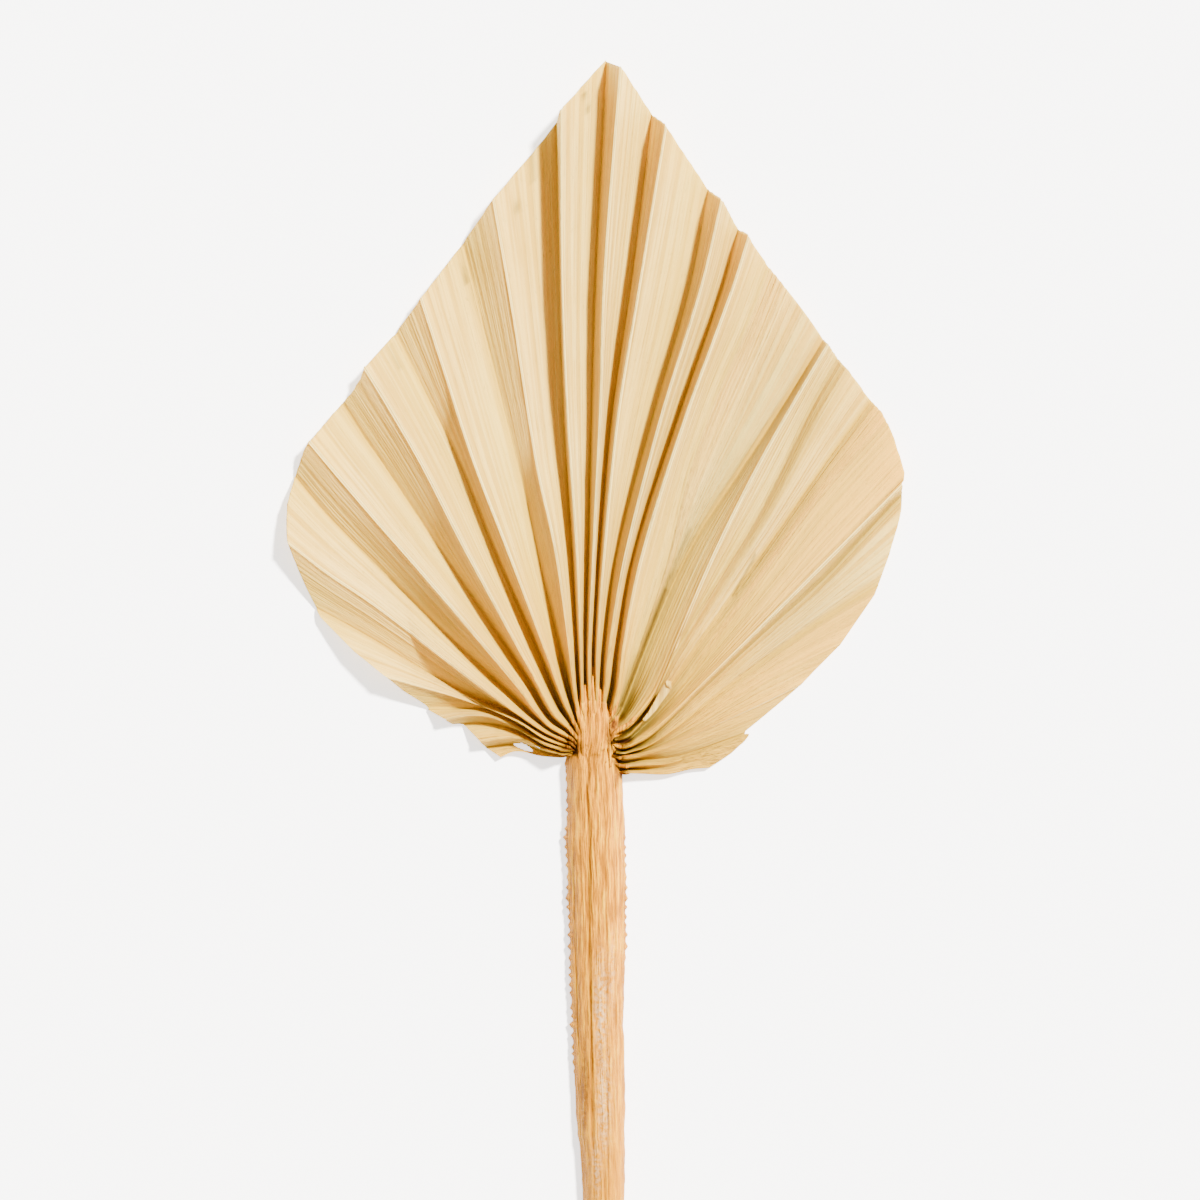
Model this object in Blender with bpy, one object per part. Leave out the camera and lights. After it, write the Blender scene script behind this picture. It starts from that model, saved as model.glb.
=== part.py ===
"""Dried fan palm leaf, cut with its stalk: a pleated fan blade on a long toothed stalk, lying flat.

Metres.  +Y runs along the leaf towards the tip of the fan, +Z is up, and the valleys of the pleats
and the flat back of the stalk rest on z = 0.  Plan positions below are in millimetres about the hub,
the point where the folds gather, and are shifted at the end so that the leaf is centred on x = y = 0.
"""
import math

import bmesh
import bpy
from mathutils import Vector

MM = 0.001

# the leaf is centred by moving the hub here (mm)
HUB_X = 1.0
HUB_Y = 61.65

# blade
LEAF_THICK = 0.45          # sheet thickness, mm
MAX_VERTICAL_THICK = 1.5   # steep pleat walls keep this much height of material at most, mm
RIB_HALF = 0.45            # half width of the flat top of each rib, mm
PANEL_AT_HUB = 6.6         # width of one flat pleat panel at the hub, mm
PANEL_GROWTH = 0.047       # how fast the panel widens with distance from the hub
MIN_SLOPE = 0.36           # panels rise at least this steeply from valley to rib
MAX_SLOPE = 1.4            # and at most this steeply ...
MAX_SLOPE_BASE = 2.4       # ... over this height, mm
ROWS = 15                  # samples along each fold

# stalk
TOOTH_TOP = -7.0           # teeth run from here ...
TOOTH_LOW = -73.0          # ... down to here, mm
TOOTH_STEP = 1.1           # half the pitch of the teeth, mm
TOOTH_DEEP = 0.55          # mm

# Fold lines in plan, hub end first, going anticlockwise from the lowest right one.  They run a little
# past the cut rim and stop where they cross it.  "E" free edge, "V" valley, "R" rib, "S" soft crest and
# "T" soft trough.  The last entry is the height (mm) at even steps from hub to rim; where it is None
# the height follows from the width of a flat panel.
FOLDS = [
    ("E", [(5.6, -8.4), (9, -8.6), (14.9, -8.8), (20.4, -7.7), (24.2, -7.4)], (3.4, 2.6, 2, 1.4, 1)),
    ("T", [(5.7, -7.6), (9, -7.6), (14.5, -7.4), (19.5, -6.2), (29.5, -4.2)], (0.3, 0.5, 0.6, 0.8, 0.8)),
    ("S", [(5.8, -6.9), (9, -6.6), (14, -6.5), (19, -5.4), (31.5, -2.2)], (4, 2.4, 0.9, 0.7, 0.6)),
    ("V", [(5.9, -6), (9, -5.7), (15, -5.4), (21.6, -3.7), (27.5, -1.6), (33.5, 0.4)], None),
    ("R", [(6, -4.9), (9.5, -4.2), (14, -3), (20, -0.6), (28, 3.2), (35, 6.4), (45.5, 11.6)],
     (4.6, 3.4, 2.8, 2.6, 2.2)),
    ("T", [(6.1, -4.4), (9.7, -3.5), (14, -1.9), (20.5, 1.6), (29.5, 7.2), (38, 12.4), (53, 19.6)],
     (0.5, 0.6, 0.9, 0.9, 0.9)),
    ("V", [(6.2, -3.9), (10.7, -2.4), (16.3, 1.2), (26.3, 8.9), (36.3, 16.2), (48.7, 25), (63, 34)],
     (4.2, 1.8, 0.1, 0, 0)),
    ("T", [(6.3, -3.3), (9.9, -1.8), (15.1, 2.6), (24.2, 11.2), (37, 23), (49, 33.8),
          (60.2, 45.8), (68, 54.2)],
     (0.4, 0.5, 0.8, 0.9, 0.7)),
    ("R", [(6.4, -2.2), (9.9, -0.4), (14.3, 3.1), (22.8, 11.4), (36.3, 24.6), (50, 38.3), (68, 56.4)],
     (5.2, 4.8, 4.6, 4.4, 4)),
    ("T", [(6.6, -1), (9, 1.2), (13, 5.2), (20.5, 14), (34, 32), (47.5, 50.5), (64.5, 70)],
     (0.5, 1.1, 1.9, 2.1, 1.9)),
    ("V", [(6.8, 0.3), (10.2, 3.9), (12.8, 6.9), (15.6, 11.2), (24.9, 24.6), (39.9, 45.7),
          (50, 60.3), (61, 75.4)],
     (4.4, 3, 0, 0, 0)),
    ("T", [(6.6, 1.3), (9.3, 4.2), (11.9, 8.2), (16.6, 18.2), (26, 33.6), (36.1, 50.3),
          (47.1, 72.8), (53.4, 84)],
     (0.4, 0.3, 1.0, 1.0, 0.7)),
    ("R", [(6.2, 2.2), (8.5, 4.5), (12.5, 10), (17.2, 21.2), (25.2, 40), (35.1, 59.8), (44, 75.5),
          (51.6, 88.2)],
     (5.4, 5.2, 5.2, 4.8, 3.6)),
    ("V", [(4.9, 5.7), (6.4, 9.2), (9.7, 18), (16.2, 33.4), (22.4, 45.2), (31.3, 58.7),
          (42.2, 75.4), (50.4, 89)],
     (0, 0, 0, 0.6, 1.2)),
    ("S", [(4.7, 6), (6.1, 9.6), (9.3, 18.3), (15.7, 36), (21.4, 52.5), (30.2, 72.2),
          (38.6, 91.5), (42.2, 100)],
     (0.9, 1.2, 1.8, 2.8, 3.2)),
    ("T", [(4.4, 6.4), (5.7, 10), (8.6, 18.8), (14.6, 37.5), (19.8, 58), (26, 75.5), (32, 89), (38.5, 106)],
     (2.4, 3, 2.6, 1.8, 1.6)),
    ("R", [(3.4, 7), (4.2, 10.4), (5.2, 19.4), (9.2, 39), (18.9, 70), (29.1, 98), (33.5, 112)],
     (5.2, 5.4, 6, 6.8, 7)),
    ("V", [(1.9, 7.7), (2.7, 11), (3.9, 19.7), (7.3, 39.4), (17.2, 70), (26.8, 98), (30.9, 113)], None),
    ("R", [(0.9, 8), (1.3, 11), (2.2, 19.9), (5.8, 40), (13.5, 70), (22.1, 98), (27.3, 120)],
     (4.6, 4.8, 5.8, 7.2, 8)),
    ("V", [(0.1, 8.2), (0.2, 11), (0.9, 20), (3.7, 40), (11.6, 70), (19.6, 98), (24.2, 122)], None),
    ("R", [(-0.7, 8.3), (-0.7, 11), (-0.5, 20), (1, 40), (4, 70), (8.9, 100), (14.9, 136)],
     (4.6, 4.8, 6, 7.8, 9)),
    ("V", [(-1.5, 8.4), (-1.5, 11), (-1.4, 20), (-0.2, 40), (2.5, 70), (6.9, 100), (11.7, 139)], None),
    ("R", [(-2.3, 8.4), (-2.3, 11), (-2.3, 20), (-1.4, 40), (0.1, 70), (1, 100), (4.8, 149)],
     (4.6, 4.6, 5.6, 7.2, 8.8)),
    ("V", [(-3.1, 8.3), (-3.3, 11), (-3.3, 20), (-2.6, 40), (-1.9, 70), (-1, 100), (1.6, 152)], None),
    ("R", [(-3.9, 7.9), (-4, 11), (-4.3, 20), (-5, 40), (-7.1, 70), (-8.3, 100), (-8.5, 140)],
     (4.6, 4.8, 5.8, 7.6, 9)),
    ("V", [(-4.5, 7.2), (-4.8, 11), (-5.2, 20), (-6.2, 40), (-8, 70), (-8.9, 95), (-9.7, 138)], None),
    ("R", [(-5, 5.9), (-5.7, 10.5), (-6.8, 20), (-9.6, 40), (-14, 60), (-19.5, 95), (-24, 121)], None),
    ("V", [(-5.6, 4.5), (-6.9, 9.5), (-8.9, 18.5), (-13.8, 40), (-17.4, 57), (-22.6, 78),
          (-31.2, 112)], None),
    ("R", [(-6, 3.4), (-7.9, 7.6), (-11.1, 16.5), (-20, 40), (-27.7, 60), (-35.2, 83), (-40.6, 100)], None),
    ("V", [(-6.5, 2.6), (-8.8, 6.7), (-14.3, 20), (-23.1, 40), (-31.3, 60.5), (-38.8, 76),
          (-47, 92.5)], None),
    ("R", [(-6.9, 1.6), (-10, 4.7), (-15, 14), (-30, 41.7), (-39.3, 59.8), (-46.6, 72.4),
          (-53.8, 84)], None),
    ("V", [(-7.2, 0.7), (-11.3, 4.1), (-16, 12.2), (-34.5, 39.5), (-47.6, 59.3), (-53, 67),
          (-59.4, 77)], None),
    ("R", [(-7.3, -0.3), (-11.6, 2.4), (-18.5, 11.4), (-35, 31), (-50, 48.1), (-58.3, 57.8),
          (-66, 67)], None),
    ("V", [(-7.4, -0.9), (-11.9, 1.6), (-20, 8.9), (-35, 23), (-50, 37.8), (-60, 48), (-70, 60)], None),
    ("R", [(-7.5, -1.5), (-12, 0.7), (-20, 6.1), (-35, 17.3), (-50.2, 28.9), (-61, 36.3),
          (-71, 44.2)], None),
    ("V", [(-7.6, -2), (-12.1, 0), (-20, 4.9), (-30, 9.1), (-42, 16), (-53, 22.6), (-65, 29)], None),
    ("R", [(-7.8, -2.5), (-12.2, -0.7), (-18, 3), (-26.2, 6.3), (-33, 8.7), (-40, 10.8),
          (-49, 13.4)], None),
    ("V", [(-8, -2.9), (-12.3, -1.2), (-17.5, 2.1), (-22, 4.6), (-27, 5.5), (-33, 5.6), (-40, 5.5)], None),
    ("R", [(-8.3, -3.3), (-12.4, -1.8), (-17.3, 1), (-21, 2.9), (-25, 4.3), (-29.5, 4.4), (-36, 2.9)],
     (6.2, 4.6, 4, 4, 3.4)),
    ("V", [(-8.5, -3.7), (-12.6, -2.4), (-17.2, 0.3), (-20, 1.4), (-24, 2.3), (-28, 2.5), (-33, 2.1)],
     (0.2, 0.6, 1, 0.6, 0)),
    ("R", [(-8.7, -4.1), (-12.8, -2.9), (-15.2, -1.6), (-18, -0.5), (-22, -0.7), (-24.5, -1.1),
          (-28.5, -1.8)],
     (5.6, 3.6, 3.6, 3.6, 3)),
    ("V", [(-8.8, -4.5), (-13, -3.6), (-17.2, -2.1), (-20.5, -2.2), (-23.5, -2.6), (-27, -3)],
     (0.6, 0.6, 0.8, 0.6, 0.2)),
    ("E", [(-8.9, -5), (-13.2, -4.7), (-17.3, -3.8), (-19.4, -3.9), (-22, -5.1)],
     (3.2, 2.4, 1.8, 1.6, 1.4)),
]

# Cut rim in plan, from the tip clockwise round to the lowest left corner.
RIM = [
    (1, 149.1), (4.7, 146), (10.3, 138.8), (14.5, 133.1), (23.7, 120.9), (32.5, 109.4),
    (41, 98.4), (50, 86.3),
    (59.6, 74.2), (62.3, 71.2), (64.7, 66), (66.6, 59.8), (67.2, 57.2), (66.4, 56), (66.7, 53.1),
    (66.6, 50.3),
    (65.9, 46.4), (63.6, 38.6), (60.8, 31), (58.1, 24.8), (54.3, 20.9), (48, 14.7), (44.2, 10.8),
    (39.2, 6.5),
    (33.3, 1.6), (31.9, 0.5), (33.3, -0.4), (28.9, -4.3), (26.3, -6.4), (24.2, -7.5), (20.4, -8),
    (14.9, -9.2),
    (9, -9.1), (4.6, -9), (-8.4, -5.6), (-13.3, -5.1), (-17.3, -4.2), (-19.3, -4.1),
    (-21.9, -5.3), (-22.8, -5.2),
    (-24.3, -3.9), (-25.3, -2.9), (-26.6, -1.3), (-29.6, 1.6), (-30.6, 2.3), (-32.8, 2.2), (-33.9, 3.4),
    (-37.9, 5.3), (-38.9, 6.8), (-42.9, 9.3), (-46.4, 12.4), (-50.7, 15.8), (-56.4, 20.2), (-61.4, 25.1),
    (-62.7, 27.8), (-65.7, 34.2), (-68.6, 42.3), (-69, 47.3), (-68.9, 50.9), (-67.6, 56.6), (-65.5, 62.1),
    (-63.9, 64.7), (-58.3, 71.7), (-54.6, 75.8), (-53, 78.1), (-52, 80.6), (-45, 89), (-39.3, 96.3),
    (-31.7, 106.8), (-23.5, 117.7), (-15.7, 127.3), (-8.4, 137),
]

# Stalk stations: y, left margin x, right margin x, height of the crown (mm).
STALK = [
    (-272.0, -2.0, 6.6, 5.2),
    (-235.0, -2.4, 6.4, 5.3),
    (-190.0, -3.0, 6.1, 5.5),
    (-145.0, -3.5, 5.8, 5.7),
    (-102.0, -3.9, 5.5, 6.0),
    (-73.0, -5.4, 5.3, 6.2),
    (-50.0, -6.6, 5.4, 6.5),
    (-30.0, -7.1, 5.6, 6.8),
    (-19.0, -7.8, 5.4, 7.0),
    (-11.0, -8.1, 5.1, 7.0),
    (-7.0, -8.2, 5.1, 7.0),
    (-4.0, -7.6, 5.3, 7.0),
    (-1.0, -6.5, 5.7, 6.9),
    (2.0, -5.8, 5.3, 6.8),
    (4.5, -4.7, 4.1, 6.6),
    (6.3, -3.4, 2.5, 6.3),
    (7.4, -2.0, 0.8, 6.0),
]

# Stalk section: across from -1 to 1, height from 0 to 1.  Thin margins, a shallow groove on the crown.
SECTION = [
    (-1.00, 0.15), (-0.90, 0.28), (-0.76, 0.56), (-0.52, 0.88), (-0.24, 1.00), (0.02, 0.93),
    (0.28, 1.00), (0.55, 0.89), (0.78, 0.56), (0.91, 0.28), (1.00, 0.15),
    (0.90, 0.03), (0.62, 0.00), (0.0, 0.00), (-0.62, 0.00), (-0.90, 0.03),
]


def clear_scene():
    for obj in list(bpy.data.objects):
        bpy.data.objects.remove(obj, do_unlink=True)


def material(name, colour, roughness):
    mat = bpy.data.materials.new(name)
    mat.use_nodes = True
    shader = mat.node_tree.nodes["Principled BSDF"]
    shader.inputs["Base Color"].default_value = (*colour, 1.0)
    shader.inputs["Roughness"].default_value = roughness
    shader.inputs["Metallic"].default_value = 0.0
    return mat


def along(points, t):
    """Point at fraction t of a smooth curve through the points, by their running length."""
    knots = [0.0]
    for a, b in zip(points, points[1:]):
        knots.append(knots[-1] + math.dist(a, b))
    want = t * knots[-1]
    i = 0
    while i < len(points) - 2 and knots[i + 1] < want:
        i += 1
    span = knots[i + 1] - knots[i]
    f = min(max((want - knots[i]) / span, 0.0), 1.0)
    p1 = Vector(points[i])
    p2 = Vector(points[i + 1])
    m1 = slope_at(points, knots, i) * span
    m2 = slope_at(points, knots, i + 1) * span
    f2 = f * f
    f3 = f2 * f
    return (p1 * (2 * f3 - 3 * f2 + 1) + m1 * (f3 - 2 * f2 + f)
            + p2 * (3 * f2 - 2 * f3) + m2 * (f3 - f2))


def slope_at(points, knots, i):
    a = max(i - 1, 0)
    b = min(i + 1, len(points) - 1)
    return (Vector(points[b]) - Vector(points[a])) / (knots[b] - knots[a])


def inside_rim(x, y):
    inside = False
    for (ax, ay), (bx, by) in zip(RIM, RIM[1:] + RIM[:1]):
        if (ay > y) != (by > y) and x < ax + (y - ay) / (by - ay) * (bx - ax):
            inside = not inside
    return inside


def rim_fraction(kind, points):
    """Fraction of a fold line's length at which it crosses the rim."""
    if kind == "E":
        return 1.0
    low = 0.6
    while low < 0.99 and inside_rim(*along(points, low + 0.01)):
        low += 0.01
    high = low + 0.01
    for _ in range(12):
        mid = 0.5 * (low + high)
        if inside_rim(*along(points, mid)):
            low = mid
        else:
            high = mid
    return low


def stepped(heights, t):
    s = t * (len(heights) - 1)
    k = min(int(s), len(heights) - 2)
    return heights[k] + (heights[k + 1] - heights[k]) * (s - k)


def fold_rows():
    """Plan position and surface height of every fold at every row."""
    ends = [rim_fraction(kind, points) for kind, points, heights in FOLDS]
    rows = []
    for j in range(ROWS):
        t = (j / (ROWS - 1)) ** 1.35
        plan = [along(points, t * end) for (kind, points, heights), end in zip(FOLDS, ends)]
        row = []
        for i, (kind, points, heights) in enumerate(FOLDS):
            if heights:
                height = stepped(heights, t)
            elif kind == "V":
                height = 0.0
            else:
                height = rib_rise(plan, i)
            row.append((kind, plan[i], height))
        rows.append(row)
    return rows


def rib_rise(plan, i):
    """Height of a rib whose two panels are flat and stand on valleys at height 0."""
    panel = PANEL_AT_HUB + PANEL_GROWTH * plan[i].length
    gap = 0.5 * ((plan[i] - plan[i - 1]).length + (plan[i] - plan[i + 1]).length)
    rise = math.sqrt(max(panel * panel - gap * gap, 0.0))
    return min(max(rise, MIN_SLOPE * gap), MAX_SLOPE * gap + MAX_SLOPE_BASE)


def blade_grid():
    """Surface points (x, y, low z, high z) row by row; each rib gives two, for its flat top."""
    grid = []
    for row in fold_rows():
        points = []
        for i, (kind, p, height) in enumerate(row):
            near = [row[k] for k in (i - 1, i + 1) if 0 <= k < len(row)]
            steep = max(abs(height - h) / max((p - q).length, 0.05) for _, q, h in near)
            thick = min(LEAF_THICK * math.sqrt(1.0 + steep * steep), MAX_VERTICAL_THICK)
            if kind != "R":
                points.append((p.x, p.y, height, height + thick))
                continue
            for k in (i - 1, i + 1):
                away = row[k][1] - p
                off = away * min(RIB_HALF / away.length, 0.3)
                points.append((p.x + off.x, p.y + off.y, height, height + thick))
        grid.append(points)
    return grid


def placed(x, y, z):
    """A point in millimetres about the hub, moved to the leaf's own frame in metres."""
    return ((x + HUB_X) * MM, (y + HUB_Y) * MM, z * MM)


def make_blade(collection):
    grid = blade_grid()
    bm = bmesh.new()
    low = []
    high = []
    for points in grid:
        low.append([bm.verts.new(placed(x, y, a)) for x, y, a, b in points])
        high.append([bm.verts.new(placed(x, y, b)) for x, y, a, b in points])
    across = len(grid[0])
    for j in range(len(grid) - 1):
        for i in range(across - 1):
            bm.faces.new((high[j][i], high[j + 1][i], high[j + 1][i + 1], high[j][i + 1]))
            bm.faces.new((low[j][i], low[j][i + 1], low[j + 1][i + 1], low[j + 1][i]))
    for i in range(across - 1):
        bm.faces.new((low[0][i], high[0][i], high[0][i + 1], low[0][i + 1]))
        bm.faces.new((low[-1][i], low[-1][i + 1], high[-1][i + 1], high[-1][i]))
    for j in range(len(grid) - 1):
        bm.faces.new((low[j][0], low[j + 1][0], high[j + 1][0], high[j][0]))
        bm.faces.new((low[j][-1], high[j][-1], high[j + 1][-1], low[j + 1][-1]))
    finish(bm, "leaf_blade", material("dried_leaf", (0.80, 0.66, 0.47), 0.62), collection)


def stalk_stations():
    """Stations along the stalk, with the teeth added on both margins."""
    stations = [s for s in STALK if s[0] < TOOTH_LOW - 0.5]
    count = int((TOOTH_TOP - TOOTH_LOW) / TOOTH_STEP)
    for k in range(count + 1):
        y = TOOTH_LOW + k * TOOTH_STEP
        left, right, crown = stalk_at(y)
        if k % 2 == 1:
            left -= TOOTH_DEEP
            if -48.0 < y < -22.0:
                right += TOOTH_DEEP
        stations.append((y, left, right, crown))
    stations += [s for s in STALK if s[0] > stations[-1][0] + 0.5]
    return stations


def stalk_at(y):
    for a, b in zip(STALK, STALK[1:]):
        if a[0] <= y <= b[0]:
            f = (y - a[0]) / (b[0] - a[0])
            return tuple(a[k] + (b[k] - a[k]) * f for k in (1, 2, 3))
    return STALK[-1][1:]


def make_stalk(collection):
    bm = bmesh.new()
    rings = []
    for y, left, right, crown in stalk_stations():
        middle = 0.5 * (left + right)
        half = 0.5 * (right - left)
        ring = []
        for u, v in SECTION:
            ring.append(bm.verts.new(placed(middle + u * half, y, v * crown)))
        rings.append(ring)
    n = len(SECTION)
    for a, b in zip(rings, rings[1:]):
        for i in range(n):
            k = (i + 1) % n
            bm.faces.new((a[i], b[i], b[k], a[k]))
    bm.faces.new(rings[0])
    bm.faces.new(list(reversed(rings[-1])))
    finish(bm, "petiole", material("dried_stalk", (0.78, 0.52, 0.27), 0.5), collection)


def finish(bm, name, mat, collection):
    bmesh.ops.recalc_face_normals(bm, faces=bm.faces)
    mesh = bpy.data.meshes.new(name)
    bm.to_mesh(mesh)
    bm.free()
    obj = bpy.data.objects.new(name, mesh)
    obj.data.materials.append(mat)
    collection.objects.link(obj)


def main():
    clear_scene()
    collection = bpy.data.collections.new("fan_palm_leaf")
    bpy.context.scene.collection.children.link(collection)
    make_blade(collection)
    make_stalk(collection)


main()
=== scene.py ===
"""Looks of the dried fan palm leaf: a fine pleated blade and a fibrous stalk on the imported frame.

Plan positions are in millimetres about the hub, the point where the folds gather.
"""
import math

import bpy
import numpy as np
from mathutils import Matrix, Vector


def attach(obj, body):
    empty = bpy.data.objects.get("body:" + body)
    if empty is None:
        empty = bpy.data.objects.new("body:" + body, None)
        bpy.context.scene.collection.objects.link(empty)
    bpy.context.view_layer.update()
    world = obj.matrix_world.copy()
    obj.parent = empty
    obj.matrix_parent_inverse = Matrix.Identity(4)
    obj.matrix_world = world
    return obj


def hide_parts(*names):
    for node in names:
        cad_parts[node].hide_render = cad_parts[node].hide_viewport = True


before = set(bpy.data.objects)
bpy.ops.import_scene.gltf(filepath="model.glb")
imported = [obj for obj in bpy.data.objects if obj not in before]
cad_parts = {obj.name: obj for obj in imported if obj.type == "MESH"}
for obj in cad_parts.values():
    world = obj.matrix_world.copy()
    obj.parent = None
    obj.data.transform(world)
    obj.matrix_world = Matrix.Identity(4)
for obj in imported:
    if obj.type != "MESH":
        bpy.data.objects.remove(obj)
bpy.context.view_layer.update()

MM = 0.001
HUB_X = 1.0
HUB_Y = 61.65
RNG = np.random.default_rng(7)

# blade
LEAF_THICK = 0.42
MAX_VERTICAL_THICK = 1.3
RIB_HALF = 0.55
PANEL_AT_HUB = 6.6
PANEL_GROWTH = 0.047
MIN_SLOPE = 0.36
MAX_SLOPE = 1.4
MAX_SLOPE_BASE = 2.4
ROWS = 210
ROW_CROWDING = 1.25  # above 1 the rows stand closer near the hub
INNER_ROWS = 12
HEAD_DIP = 2.6  # how far the ribs dive under the head of the stalk
HEAD_RISE = 2.4  # how far the valleys rise towards it
RIB_COLUMNS = np.array([0.0, 0.22, 0.45, 0.7, 0.9, 1.0])  # columns across half a rib
MAX_RIB_SHARE = 0.32
COLUMN_PITCH = 0.8
CREST_RISE = 0.42
CREST_GROOVE = 0.10
# width (mm) of the painted amber shade line along each valley
VALLEY_LINE_WIDTH = 0.4
# depth (mm) below a panel's top at which the depth value behind the painted shade reaches 1
FULL_DEPTH = 6.0
SOFT_SHARE = 0.35  # how far the tints and painted shade of two panels run together beside a soft fold
GRAIN_PER_PANEL = 9.0
FULL_REACH = 150.0
SHEET_WAVE = 0.22

# stalk
CUT_Y = -272.0
HEAD_Y = 7.3
RIM_SHARE = 0.16  # height of the margin as a share of the crown
TEETH_PER_MM = 0.46
LEFT_TOOTH = 0.75
RIGHT_TOOTH = 0.6
TOOTH_ROOT = 0.86  # share of the half width where the teeth begin
MARGIN_WAVE = 0.14
LEAST_HEIGHT = 0.25
LEAST_THICK = 0.2

# strands
STRAND_ROWS = 40
STRAND_SIDES = 14
STRAND_WAVE = 0.08

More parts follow.
